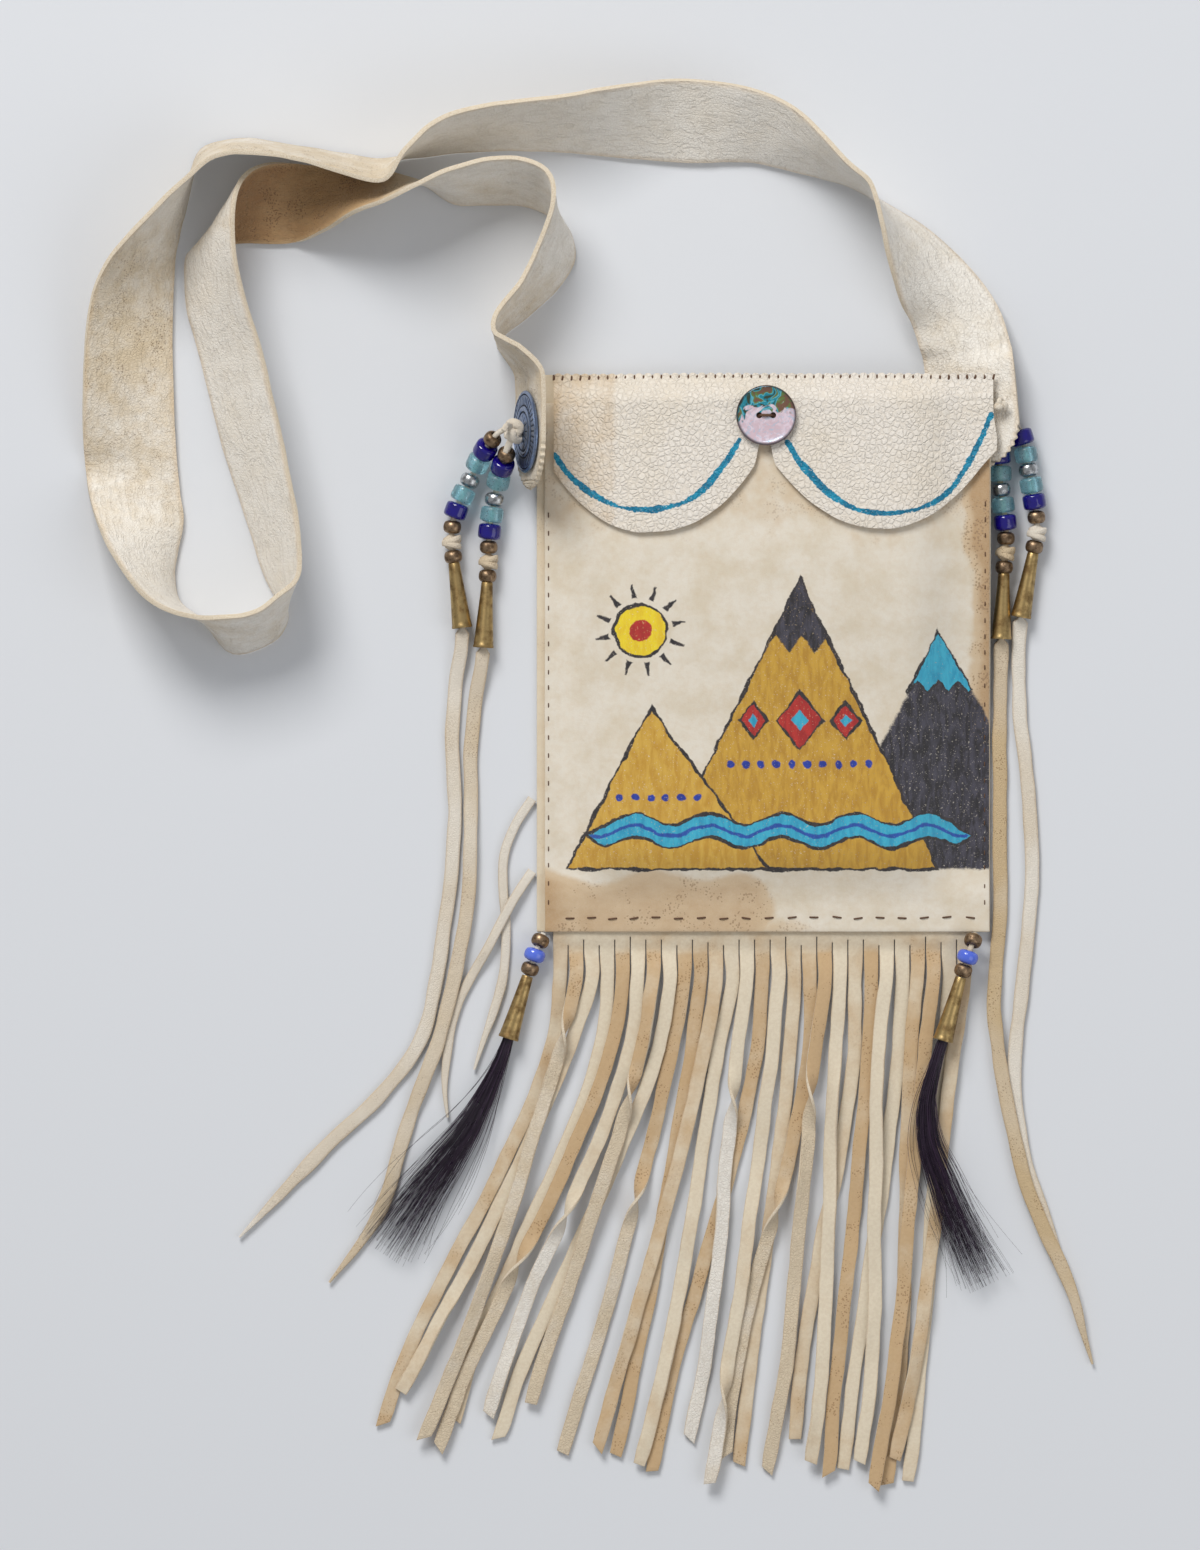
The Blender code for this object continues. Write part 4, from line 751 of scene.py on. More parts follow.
def suede(name, base, deep, stain=None, spots=0.34):
    """Napped side of the deerskin: matt, cloudy, with darker pores where it is stained."""
    graph = Graph(name)
    x, y, _ = graph.parts()
    clouds = graph.ease(graph.noise(14.0, 5.0, 0.6), 0.35, 0.72)
    colour = graph.mix(graph.times(clouds, 0.55), base, deep)
    share = graph.times(clouds, 0.4)
    if stain is not None:
        rough_edge = graph.add(stain(graph, x, y), graph.ragged(8.0, 5.0, 0.62, 0.6))
        share = graph.ease(rough_edge, 0.3, 0.75)
        colour = graph.mix(graph.times(share, 0.9), colour, TAN)
        colour = graph.mix(graph.ease(rough_edge, 0.75, 1.4, 0.0, 0.85), colour, BROWN)
    pores = graph.times(specks(graph, 1.05, spots), share)
    colour = graph.mix(graph.times(pores, 0.6), colour, rgb(132, 98, 64))
    colour = graph.mix(graph.ease(graph.noise(2.4, 5.0, 0.65), 0.4, 0.65, 0.0, 0.16), colour, TAN)
    fuzz = graph.noise(0.5, 3.0, 0.7)
    colour = graph.mix(graph.ease(fuzz, 0.3, 0.7, 0.0, 0.10), colour, WHITE)
    graph.set(Base_Color=colour, Roughness=0.93)
    graph.set(Normal=graph.bump(suede_nap(graph), 0.16))
    graph.set(Sheen_Weight=0.25)
    graph.set(Sheen_Roughness=0.6)
    return graph


def cut_edge(name):
    """Raw cut edge of the leather: pale fibres in layers along the thickness."""
    graph = Graph(name)
    fibres = graph.noise(0.4, 4.0, 0.7)
    colour = graph.mix(graph.ease(fibres, 0.35, 0.7), rgb(232, 221, 202), rgb(205, 186, 156))
    graph.set(Base_Color=colour, Roughness=0.9, Normal=graph.bump(fibres, 0.2))
    return graph


def lace_leather(name, tan=0.25):
    """Thin pale lace with a slow tan flush along it and a few pores."""
    graph = Graph(name)
    flush = graph.ease(graph.noise(60.0, 3.0, 0.5), 0.35, 0.7, tan - 0.25, tan + 0.3)
    colour = graph.mix(flush, rgb(233, 226, 214), rgb(204, 180, 142))
    edge = graph.attribute("edge")
    colour = graph.mix(graph.ease(edge, 0.6, 1.0, 0.0, 0.4), colour, rgb(188, 160, 122))
    pores = graph.times(specks(graph, 0.9, 0.3), flush)
    colour = graph.mix(graph.times(pores, 0.6), colour, rgb(125, 88, 55))
    graph.set(Base_Color=colour, Roughness=0.85)
    graph.set(Normal=graph.bump(graph.add(pebble(graph, 0.9), graph.noise(0.3, 4.0, 0.6)), 0.12))
    return graph


def aged_metal(name, base, dark, rough, patch=1.7):
    """Worn cast metal: darker tarnish in patches, with fine scratches."""
    graph = Graph(name)
    tarnish = graph.ease(graph.noise(patch, 5.0, 0.6), 0.4, 0.68)
    colour = graph.mix(tarnish, base, dark)
    scratches = graph.noise(0.25, 4.0, 0.7)
    graph.set(Base_Color=colour, Metallic=1.0)
    graph.set(Roughness=graph.add(graph.times(tarnish, 0.22), graph.times(scratches, 0.12), rough - 0.06))
    graph.set(Normal=graph.bump(graph.add(scratches, graph.noise(2.4, 2.0, 0.5)), 0.035))
    return graph


def glass(name, colour, transmission, swirl, rough=0.03):
    """Pressed glass bead with faint streaks and a few mould marks."""
    graph = Graph(name)
    streaks = graph.ease(graph.noise(3.4, 3.0, 0.5, distortion=0.6), 0.35, 0.7)
    graph.set(Base_Color=graph.mix(graph.times(streaks, 0.4), colour, swirl))
    graph.set(Roughness=graph.ease(graph.noise(0.8, 3.0, 0.6), 0.3, 0.8, rough, rough + 0.12))
    graph.set(Normal=graph.bump(graph.noise(1.6, 2.0, 0.5), 0.03))
    graph.set(IOR=1.5)
    graph.set(Transmission_Weight=transmission)
    graph.set(Coat_Weight=0.4)
    graph.set(Coat_Roughness=0.05)
    return graph


def hair_material():
    graph = Graph("black_hair")
    strand = graph.attribute("strand")
    # Each hair runs from near black to a lighter purple by its strand: the purple is painted reflection.
    colour = graph.mix(strand, rgb(24, 15, 30), rgb(78, 56, 84))
    graph.set(Base_Color=colour, Roughness=graph.ease(graph.noise(3.0, 2.0, 0.5), 0.3, 0.7, 0.26, 0.42))
    graph.set(Specular_IOR_Level=0.6)
    return graph


def thread_material():
    graph = Graph("brown_thread")
    twist = graph.noise(0.3, 3.0, 0.6)
    graph.set(Base_Color=graph.mix(twist, rgb(116, 84, 62), rgb(68, 47, 35)), Roughness=0.8)
    graph.set(Normal=graph.bump(twist, 0.1))
    return graph


def concho_metal():
    """Stamped nickel, dark in the stamped recesses, in blue-grey tones that are a painted reflection."""
    graph = Graph("concho_nickel")
    deep = graph.attribute("deep")
    mottle = graph.ease(graph.noise(2.4, 4.0, 0.6), 0.35, 0.7)
    # The two blue-greys, mixed in patches by the mottle, are painted reflection; the mottle also roughens the
    # metal there.
    colour = graph.mix(graph.times(mottle, 0.6), rgb(138, 152, 178), rgb(84, 108, 150))
    colour = graph.mix(graph.ease(deep, 0.25, 0.8, 0.0, 0.9), colour, rgb(30, 34, 44))
    graph.set(Base_Color=colour, Metallic=1.0)
    graph.set(Roughness=graph.add(graph.times(deep, 0.3), graph.times(mottle, 0.15), 0.22))
    graph.set(Normal=graph.bump(graph.noise(0.4, 4.0, 0.6), 0.04))
    return graph


def shell_material():
    """Polished shell: dark green and blue swirls at the top, pink and lilac pearl below."""
    graph = Graph("shell")
    x, y, _ = graph.parts()
    flat = graph.joined(x, y)
    swirl = graph.noise(6.0, 2.0, 0.5, flat, distortion=1.2)
    height = graph.add(graph.less(y, BUTTON_Y / MM + 2.6), graph.times(graph.less(swirl, 0.5), 14.0),
                       graph.ease(x, -5.0, -10.0, 0.0, 4.5))
    rosy = graph.ease(graph.noise(4.0, 3.0, 0.5, flat, distortion=1.5), 0.4, 0.62)
    pearl = graph.mix(rosy, rgb(212, 186, 196), rgb(226, 208, 220))
    cool = graph.ease(graph.noise(2.6, 3.0, 0.6, flat, distortion=2.0), 0.52, 0.66, 0.0, 0.7)
    pearl = graph.mix(cool, pearl, rgb(178, 192, 212))
    bands = graph.add(graph.noise(5.0, 2.0, 0.5, flat, distortion=1.4), graph.ease(x, -4.0, 8.0, -0.05, 0.11))
    dark = rgb(58, 66, 50)
    for low, high, band in ((0.36, 0.43, rgb(40, 132, 152)), (0.47, 0.5, rgb(96, 176, 196)),
                            (0.52, 0.56, rgb(104, 122, 62)), (0.58, 0.64, rgb(120, 84, 66))):
        dark = graph.mix(graph.ease(bands, low, high), dark, band)
    colour = graph.mix(graph.ease(height, -0.6, 0.6), pearl, dark)
    from_middle = graph.size_of(graph.less(x, BUTTON_X / MM), graph.less(y, BUTTON_Y / MM))
    colour = graph.mix(graph.ease(from_middle, 10.3, 11.4, 0.0, 0.85), colour, rgb(44, 40, 34))
    graph.set(Base_Color=colour, Roughness=graph.ease(bands, 0.3, 0.7, 0.12, 0.24))
    graph.set(Normal=graph.bump(graph.noise(2.0, 3.0, 0.5), 0.05))
    graph.set(Coat_Weight=0.7)
    graph.set(Coat_Roughness=0.08)
    graph.set(Thin_Film_Thickness=380.0)
    graph.set(Thin_Film_IOR=1.3)
    return graph


# Mesh helpers


def add_mesh(name, points, faces, materials, face_slots=None, **attributes):
    """A smooth mesh with its own materials and per-point values."""
    mesh = bpy.data.meshes.new(name)
    mesh.from_pydata([tuple(point) for point in points], [], [tuple(face) for face in faces])
    for material in materials:
        mesh.materials.append(material)
    if face_slots is not None:
        mesh.polygons.foreach_set("material_index", face_slots)
    for key, values in attributes.items():
        layer = mesh.attributes.new(key, "FLOAT", "POINT")
        layer.data.foreach_set("value", np.array(values, dtype=np.float32))
    body = bpy.data.objects.new(name, mesh)
    bpy.context.scene.collection.objects.link(body)
    mesh.shade_smooth()
    return body


def baked(body, sharp=None):
    """Settle the modifiers into the mesh and face it outwards."""
    mesh = bpy.data.meshes.new_from_object(body.evaluated_get(bpy.context.evaluated_depsgraph_get()))
    body.modifiers.clear()
    body.data = mesh
    outward(body, sharp)
    return body


def outward(body, sharp=None):
    work = bmesh.new()
    work.from_mesh(body.data)
    bmesh.ops.recalc_face_normals(work, faces=work.faces)
    work.to_mesh(body.data)
    work.free()
    body.data.shade_smooth()
    if sharp is not None:
        body.data.set_sharp_from_angle(angle=math.radians(sharp))
    return body


def leather(name, points, faces, thickness, materials, rounding=0.4, **attributes):
    """A hide of the given thickness about its mid-surface: first face, second face, cut edge."""
    body = add_mesh(name, points, faces, materials, **attributes)
    shell = body.modifiers.new("thick", "SOLIDIFY")
    shell.thickness = thickness
    shell.offset = 0.0
    shell.use_even_offset = False
    shell.material_offset = 1
    shell.material_offset_rim = 2
    soft = body.modifiers.new("rounded", "BEVEL")
    soft.width = rounding * MM
    soft.segments = 2
    soft.limit_method = "ANGLE"
    soft.angle_limit = math.radians(55)
    return baked(body)


def wander(x, y, size, seed=0.0):
    """Smooth noise from about -1 to 1 with the given feature size in metres."""
    return noise.noise(Vector((x / size, y / size, seed)))


def frames_along(path):
    """Level sideways direction and upward direction at each point of a path."""
    path = np.array(path)
    ahead = np.gradient(path, axis=0)
    ahead /= np.linalg.norm(ahead, axis=1)[:, None]
    across = np.cross(ahead, [0.0, 0.0, 1.0])
    flat = np.linalg.norm(across, axis=1)
    across[flat < 0.2] = np.cross(ahead[flat < 0.2], [0.0, 1.0, 0.0])
    across /= np.linalg.norm(across, axis=1)[:, None]
    return across, np.cross(across, ahead)


def sweep(path, sections):
    """Closed tube through the path: sections holds each ring's (sideways, upward) offsets."""
    across, upward = frames_along(path)
    points = []
    sides = len(sections[0])
    for index, centre in enumerate(path):
        for sideways, rise in sections[index]:
            points.append(centre + across[index] * sideways + upward[index] * rise)
    faces = []
    for ring in range(len(path) - 1):
        for side in range(sides):
            beside = (side + 1) % sides
            start = ring * sides
            faces.append((start + side, start + beside, start + sides + beside, start + sides + side))
    faces.append(tuple(reversed(range(sides))))
    faces.append(tuple(range((len(path) - 1) * sides, len(path) * sides)))
    return points, faces


def oval(width, thickness, sides=12, square=0.55):
    """A flattened section with rounded corners: half width and half thickness."""
    section = []
    for side in range(sides):
        angle = 2 * math.pi * (side + 0.5) / sides
        section.append((width * math.copysign(abs(math.cos(angle)) ** square, math.cos(angle)),
                        thickness * math.copysign(abs(math.sin(angle)) ** square, math.sin(angle))))
    return section


def round_tube(path, radius, sides=10):
    radii = [radius] * len(path) if np.isscalar(radius) else radius
    return sweep(path, [oval(value, value, sides, 1.0) for value in radii])


def merged(parts):
    """Several (points, faces) lists as one."""
    points = []
    faces = []
    for part_points, part_faces in parts:
        start = len(points)
        points += list(part_points)
        faces += [tuple(index + start for index in face) for face in part_faces]
    return points, faces


def show(body, rides, *nodes, slot=None):
    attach(body, rides)
    if nodes:
        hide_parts(*nodes)


def stroke(points, width):
    """A short thread through a few given points."""
    path = curve_through(np.array(points), 0.4 * MM)
    return sweep(path, [oval(width, width * 0.75, 8, 0.9)] * len(path))


def one_lace(name, parts, material):
    """Several tubes as one mesh, with none of a lace's tan edge."""
    points, faces = merged(parts)
    return outward(add_mesh(name, points, faces, [material], edge=np.zeros(len(points))))


# Panels


def right_stain(graph, x, y):
    """Tan flush down the right side of the front and along its lower left edge."""
    wave = graph.ragged(32.0, 3.0, 0.5, 26.0)
    wavy_x = graph.add(x, wave)
    wavy_y = graph.add(y, wave)
    side = graph.ease(graph.add(x, graph.times(wave, 0.5)), 75.0, 86.0, 0.0, 1.35)
    side = graph.times(side, graph.ease(y, 10.0, 36.0))
    bottom = graph.times(graph.ease(wavy_y, -25.0, -37.0), graph.ease(graph.add(wavy_x, wave), 14.0, -6.0))
    strip = graph.times(graph.ease(y, -42.0, -50.0, 0.0, 0.6), graph.ease(wavy_x, 34.0, 8.0))
    under_flap = graph.ease(wavy_y, 84.0, 116.0, 0.0, 0.5)
    left = graph.times(graph.ease(x, -74.0, -90.0, 0.0, 0.45), graph.ease(y, 100.0, 40.0))
    return graph.add(graph.most(side, bottom, strip), under_flap, left)


def hill(graph, x, y, apex_x, apex_y, left_run, right_run):
    """Below zero inside a hill whose slopes run out by left_run and right_run at its foot."""
    rise = apex_y - HILL_FOOT
    left = math.hypot(left_run, rise)
    right = math.hypot(right_run, rise)
    along_x = graph.less(x, apex_x)
    along_y = graph.less(y, apex_y)
    left_side = graph.add(graph.times(along_x, -rise / left), graph.times(along_y, left_run / left))
    right_side = graph.add(graph.times(along_x, rise / right), graph.times(along_y, right_run / right))
    return graph.most(left_side, right_side, graph.less(HILL_FOOT, y))


def painted_front():
    """Flesh side of the front, painted with hills, a river and a sun. Places are in millimetres."""
    graph = suede("front_leather", rgb(231, 223, 208), rgb(208, 191, 160), right_stain, spots=0.4)
    colour = graph.shader.inputs["Base Color"].links[0].from_socket
    x, y, _ = graph.parts()
    shake_x = graph.ragged(6.5, 5.0, 0.62, 3.4)
    shake_y = graph.ragged(5.2, 5.0, 0.62, 3.0)
    px = graph.add(x, shake_x)
    py = graph.add(y, shake_y)
    worn = graph.ease(graph.noise(0.7, 4.0, 0.65), 0.30, 0.40, 0.25, 1.0)
    dry = graph.ragged(0.9, 4.0, 0.7, 7.0)
    brushed = graph.joined(graph.times(x, 2.6), graph.times(y, 0.7))
    streaks = graph.noise(6.0, 5.0, 0.62, brushed, distortion=0.5)

    def paint(base, area, tint, shade, softness=0.25, cover=1.0):
        tone = graph.mix(graph.ease(streaks, 0.36, 0.66), tint, shade)
        thin_rim = graph.ease(graph.add(area, dry), 0.9, -0.4, 0.2, 1.0) if softness > 0.3 else 1.0
        inside = graph.times(graph.ease(area, softness, -softness), worn, cover, thin_rim)
        return graph.mix(inside, base, tone)

    hand = graph.ease(graph.noise(11.0, 3.0, 0.5), 0.36, 0.64, -0.15, 0.42)

    def outline(base, area, half=0.45):
        band = graph.less(graph.math("ABSOLUTE", area), graph.add(hand, half))
        return paint(base, band, BLACK, rgb(62, 56, 56), 0.2)

    # far range: black slopes behind
    far = hill(graph, px, py, 68.0, 66.0, 46.0, 54.0)
    colour = paint(colour, far, BLACK, rgb(74, 72, 84), 0.7)
    ridge = graph.times(graph.math("PINGPONG", px, 4.0), 1.1)
    snow = graph.most(far, graph.less(graph.add(ridge, 42.0), py))
    colour = paint(colour, snow, TURQUOISE, rgb(40, 150, 186))
    colour = outline(colour, snow, 0.4)
    # the great hill and the low one in ochre
    great = hill(graph, px, py, 14.0, 86.0, 56.0, 54.0)
    low = hill(graph, px, py, -44.0, 36.0, 33.0, 46.0)
    colour = paint(colour, great, MUSTARD, rgb(184, 138, 48))
    colour = outline(colour, great)
    jags = graph.times(graph.math("PINGPONG", px, 5.0), 1.4)
    cap = graph.most(great, graph.less(graph.add(jags, 57.0), py))
    colour = paint(colour, cap, BLACK, rgb(74, 72, 84), 0.6)
    colour = paint(colour, low, rgb(214, 172, 74), rgb(196, 148, 52))
    colour = outline(colour, low)
    # red lozenges across the great hill
    for centre_x, centre_y, size in ((14.0, 31.0, 9.0), (-4.0, 31.0, 5.5), (32.0, 31.0, 5.5)):
        across = graph.math("ABSOLUTE", graph.less(px, centre_x))
        along = graph.math("ABSOLUTE", graph.less(py, centre_y))
        lozenge = graph.times(graph.less(graph.add(across, graph.times(along, 0.8)), size), 0.75)
        colour = paint(colour, lozenge, RED, rgb(160, 38, 38))
        colour = outline(colour, lozenge, 0.35)
        colour = paint(colour, graph.add(lozenge, size * 0.48), TURQUOISE, rgb(40, 150, 186))
    # a row of blue dots under the lozenges and over the low hill
    for row_y, first, last, pitch in ((14.0, -13.0, 41.0, 6.0), (1.0, -56.0, -26.0, 6.0)):
        turn = graph.math("PINGPONG", graph.less(px, first), pitch / 2)
        dot = graph.less(graph.size_of(turn, graph.less(py, row_y)), 1.5)
        dot = graph.most(dot, graph.less(first - 2.0, px), graph.less(px, last + 2.0))
        colour = paint(colour, dot, BLUE, rgb(30, 50, 140))
    # river: a turquoise band with a darker wave in it
    wave = graph.times(graph.math("SINE", graph.times(px, 0.22)), 2.2)
    swell = graph.times(graph.ease(px, -76.0, -58.0), graph.ease(px, 86.0, 72.0), 6.4)
    from_wave = graph.math("ABSOLUTE", graph.less(py, graph.add(wave, -12.0)))
    river = graph.less(from_wave, graph.less(swell, 1.8))
    colour = paint(colour, river, TURQUOISE, rgb(44, 152, 190))
    ripple = graph.most(graph.less(from_wave, 0.7), graph.add(river, 0.8))
    colour = paint(colour, ripple, BLUE, rgb(30, 60, 150), cover=0.9)
    colour = outline(colour, river)
    # sun and its ring of short rays
    sun_x = graph.less(px, -48.0)
    sun_y = graph.less(py, 66.0)
    away = graph.size_of(sun_x, sun_y)
    around = graph.math("ARCTAN2", sun_y, sun_x)
    ray = graph.times(graph.math("PINGPONG", graph.add(around, 4.0), math.pi / 12), away)
    rays = graph.most(graph.less(12.6, away), graph.less(away, 18.0),
                      graph.less(ray, graph.less(3.0, graph.times(away, 0.15))))
    colour = paint(colour, rays, BLACK, rgb(60, 54, 56))
    colour = paint(colour, graph.less(away, 10.2), YELLOW, rgb(232, 196, 40))
    colour = outline(colour, graph.less(away, 10.2), 0.5)
    colour = paint(colour, graph.less(away, 4.4), RED, rgb(168, 44, 40))
    graph.set(Base_Color=colour)
    return graph


def pucker(offset, pitch, depth, reach, across):
    """Small dents where a stitch pulls the leather down, pitch apart."""
    phase = abs((offset / pitch) % 1.0 - 0.5) * 2
    return -depth * max(0.0, 1.0 - phase * 1.6) * math.exp(-(across / reach) ** 2)


def front_relief(x, y):
    inner = min(1.0, max(0.0, (x - BAG_LEFT) / (14 * MM))) * min(1.0, max(0.0, (BAG_RIGHT - x) / (14 * MM)))
    lift = 0.35 * MM * wander(x, y, 34 * MM) * inner + 0.12 * MM * wander(x, y, 9 * MM, 4.0)
    under_flap = smooth_step((y - 98 * MM) / (12 * MM))
    lift = min(lift, 0.3 * MM) * (1 - under_flap) - 0.25 * MM * under_flap
    lift += pucker(x - 75.5 * MM, STITCH_PITCH, 0.35 * MM, 2.2 * MM, y - STITCH_Y)
    return lift


STITCH_Y = -46.0 * MM
STITCH_PITCH = 8.6 * MM
STITCH_LENGTH = 3.6 * MM
WHIP_PITCH = 3.5 * MM
TEAL_LEFT = [(-81.7, 134.6), (-75.0, 126.2), (-66.5, 119.3), (-57.0, 114.6), (-47.0, 113.1), (-37.5, 114.0),
             (-29.1, 116.9), (-22.5, 122.0), (-17.2, 128.4), (-13.0, 134.4), (-9.6, 140.0)]
TEAL_RIGHT = [(9.2, 139.6), (13.2, 132.8), (18.5, 126.4), (26.0, 119.0), (35.0, 113.6), (45.0, 111.7),
              (56.0, 112.4), (65.7, 115.8), (72.8, 121.2), (78.2, 128.6), (83.5, 138.5), (88.6, 150.0)]


def make_panels(materials):
    """Back and front as fine grids. Below the flap the front reaches out to the right edge."""
    step = 1.6 * MM
    columns = spread(BAG_LEFT, BAG_RIGHT, int(BAG_WIDTH / step))
    rows = int(BAG_HEIGHT / step)
    points = []
    for x in columns:
        for y in spread(BAG_BOTTOM, BAG_TOP, rows):
            points.append((x, y, back_height(x, y) + 0.1 * MM * wander(x, y, 25 * MM, 9.0)))
    back = leather("back_leather", points, grid_faces(len(columns), rows), PANEL_THICKNESS, materials["back"])
    show(back, "bag", "back_panel", slot="cream_leather")
    half = BAG_WIDTH / 2 - BACK_RIM
    columns = spread(-half, half, int(2 * half / step))
    rows = int((MOUTH_Y - BAG_BOTTOM) / step)
    points = []
    for x in columns:
        for y in spread(BAG_BOTTOM, MOUTH_Y, rows):
            reach = (BACK_RIM - 0.3 * MM) * smooth_step((x - half) / (16 * MM) + 1.0)
            reach *= smooth_step((139 * MM - y) / (5 * MM))
            waver = 0.35 * MM * wander(0.0, y, 24 * MM, 17.0) * smooth_step((abs(x) - half) / (10 * MM) + 1.0)
            points.append((x + reach + min(waver, 0.0), y, front_height(x, y) + front_relief(x, y)))
    faces = grid_faces(len(columns), rows)
    front = leather("front_leather", points, faces, PANEL_THICKNESS, materials["front"])
    show(front, "bag", "front_panel", slot="cream_leather")


def whip_lobe(x):
    """0 in a slit between two turns of the whip stitch, 1 on the swelling between them."""
    return abs(math.sin(math.pi * (x - FLAP_LEFT) / WHIP_PITCH)) ** 0.7


def top_wave(x):
    """How far the sewn top edge wavers up or down."""
    return 0.5 * MM * wander(x, 0.0, 40 * MM, 23.0)


def flap_relief(x, y):
    near_top = smooth_step((y - (HINGE_Y - 5.5 * MM)) / (4.0 * MM))
    lift = 0.5 * MM * near_top * (whip_lobe(x) - 0.5)
    spare = smooth_step((y - MOUTH_Y) / (8 * MM))
    lift += 0.22 * MM * abs(wander(x, y, 18 * MM, 2.0)) * (1 - near_top)
    knot_side = math.exp(-(((x - 84 * MM) / (12 * MM)) ** 2)) * math.exp(-(((y - 155 * MM) / (6 * MM)) ** 2))
    lift += 0.3 * MM * knot_side * abs(math.sin(y / (1.3 * MM)))
    return lift + 0.05 * MM * spare


def make_flap(materials):
    columns = spread(FLAP_LEFT, FLAP_RIGHT, 230)
    rows = 66
    points = []
    for x in columns:
        notch = smooth_step(1.6 - abs(x - CUSP_X) / (2.6 * MM))
        low = flap_outline(x) + 6.6 * MM * notch
        right_end = smooth_step((x - 78 * MM) / (FLAP_RIGHT - 78 * MM))
        for y in spread(low, HINGE_Y, rows):
            stretch = 1.3 * MM * (whip_lobe(x) - 0.6) * smooth_step((y - (HINGE_Y - 3 * MM)) / (3 * MM))
            stretch += top_wave(x) * smooth_step((y - (HINGE_Y - 14 * MM)) / (14 * MM))
            bulge = 1.5 * MM * right_end * math.exp(-(((y - 139.5 * MM) / (7.5 * MM)) ** 2))
            bulge -= 0.6 * MM * right_end
            edge_wave = 0.35 * MM * wander(x, 0.0, 9 * MM, 7.0) * (1 - smooth_step((y - low) / (8 * MM)))
            points.append((x + bulge, y + stretch + edge_wave, flap_height(x, y) + flap_relief(x, y)))
    flat = np.array(points)[:, :2]
    line = np.full(len(points), 6.0)
    batch = 2000
    for route in (TEAL_LEFT, TEAL_RIGHT):
        fine = curve_through(np.array(route) * MM, 0.4 * MM)
        for start in range(0, len(points), batch):
            nearest = np.linalg.norm(flat[start:start + batch, None] - fine[None], axis=2).min(axis=1)
            line[start:start + batch] = np.minimum(line[start:start + batch], nearest / MM)
    flap = leather("flap_leather", points, grid_faces(len(columns), rows), FLAP_THICKNESS, materials["flap"],
                   rounding=0.45, line=line)
    show(flap, "flap", "flap", slot="white_leather")


def flap_grain():
    """White pebbled grain, yellower at the left, with the painted teal line along the scallops."""
    def left_cloud(graph, x, y):
        return graph.add(graph.ease(x, -53.0, -60.0, 0.0, 0.44), graph.ease(x, -74.0, -86.0, 0.0, 0.22),
                         graph.ease(y, 158.0, 168.0, 0.0, 0.1))

    graph = white_grain("flap_grain", left_cloud, 0.3, 2.1)
    colour = graph.shader.inputs["Base Color"].links[0].from_socket
    brush = graph.ragged(1.5, 4.0, 0.65, 1.9)
    heavy = graph.ragged(15.0, 3.0, 0.5, 2.2)
    away = graph.less(graph.add(graph.attribute("line"), brush), heavy)
    thin = graph.ease(graph.noise(0.8, 4.0, 0.7), 0.32, 0.39, 0.3, 1.0)
    tone = graph.mix(graph.ease(graph.noise(5.0, 4.0, 0.6), 0.4, 0.62), TEAL, rgb(10, 146, 182))
    colour = graph.mix(graph.times(graph.ease(away, 1.2, 0.95), thin), colour, tone)
    graph.set(Base_Color=colour)
    return graph


# Strap

# How tan or brown each face of the strap is, by row of its route: 0 white, 1 tan, 1.7 brown. Partly the
# leather's own tan stretches and dirt, partly painted shade: the outer face's rows 23 to 31 and the inner
# face's brown rows 45 to 53 are darkened where the face leans away from the light.
STAIN_AND_SHADE_OUTER = {0: 0.30, 3: 0.42, 5: 0.28, 8: 0.10, 12: 0.10, 20: 0.02, 23: 0.15, 24: 0.3, 25: 0.38,
              26: 0.44, 27: 0.44, 28: 0.38, 29: 0.32, 30: 0.25, 31: 0.12, 32: 0.05, 40: 0.10, 44: 0.1,
              45: 0.25, 47: 0.4, 50: 0.5, 52: 0.4, 53: 0.3, 55: 0.2, 60: 0.22, 63: 0.42, 67: 0.45, 70: 0.40}
STAIN_AND_SHADE_INNER = {0: 0.2, 6: 0.15, 9: 0.2, 12: 0.50, 16: 0.46, 20: 0.42, 23: 0.52, 25: 0.50, 27: 0.80, 29: 0.92,
              31: 0.55, 34: 0.34, 37: 0.2, 41: 0.12, 44: 0.12, 45: 1.3, 46: 1.6,
              48: 1.45, 50: 1.25, 52: 1.15, 53: 0.8, 54: 0.25, 60: 0.15, 64: 0.3,
              67: 0.36, 70: 0.34}
TOOTH_ANGLE = math.radians(9.4)
TOOTH_DEPTH = 0.048


def strap_rows():
    """Left and right edge points with the row number each came from."""
    route = spread_route()
    numbered = np.column_stack([route, np.arange(len(route), dtype=float)])
    samples = curve_through(numbered, 2.4)
    lefts = []
    rights = []
    rows = []
    for left_x, left_y, right_x, right_y, side, base, row in samples:
        plan = math.hypot(left_x - right_x, left_y - right_y) * MM
        rise = min(max(side, -1.0), 1.0) * math.sqrt(max(STRAP_WIDTH ** 2 - plan ** 2, 0.0))
        lefts.append((left_x * MM, left_y * MM, base * MM + max(rise, 0.0)))
        rights.append((right_x * MM, right_y * MM, base * MM + max(-rise, 0.0)))
        rows.append(row)
    return np.array(lefts), np.array(rights), np.array(rows)


def pinked_end(left, right):
    """Rows that round the strap's end off, with small saw teeth along the edge."""
    centre = (left + right) / 2
    half = (right - left) / 2
    outward_way = np.array([0.0, -1.0, 0.0])
    found = []
    for step in range(1, 49):
        angle = math.radians(88.5) * step / 48
        tooth = 1.0 - TOOTH_DEPTH + 2 * TOOTH_DEPTH * abs((angle / TOOTH_ANGLE) % 1.0 - 0.5) * 1.3
        heart = centre + outward_way * (STRAP_WIDTH / 2) * math.sin(angle) * tooth
        reach = half * math.cos(angle) * tooth
        found.append((heart - reach, heart + reach))
    return found


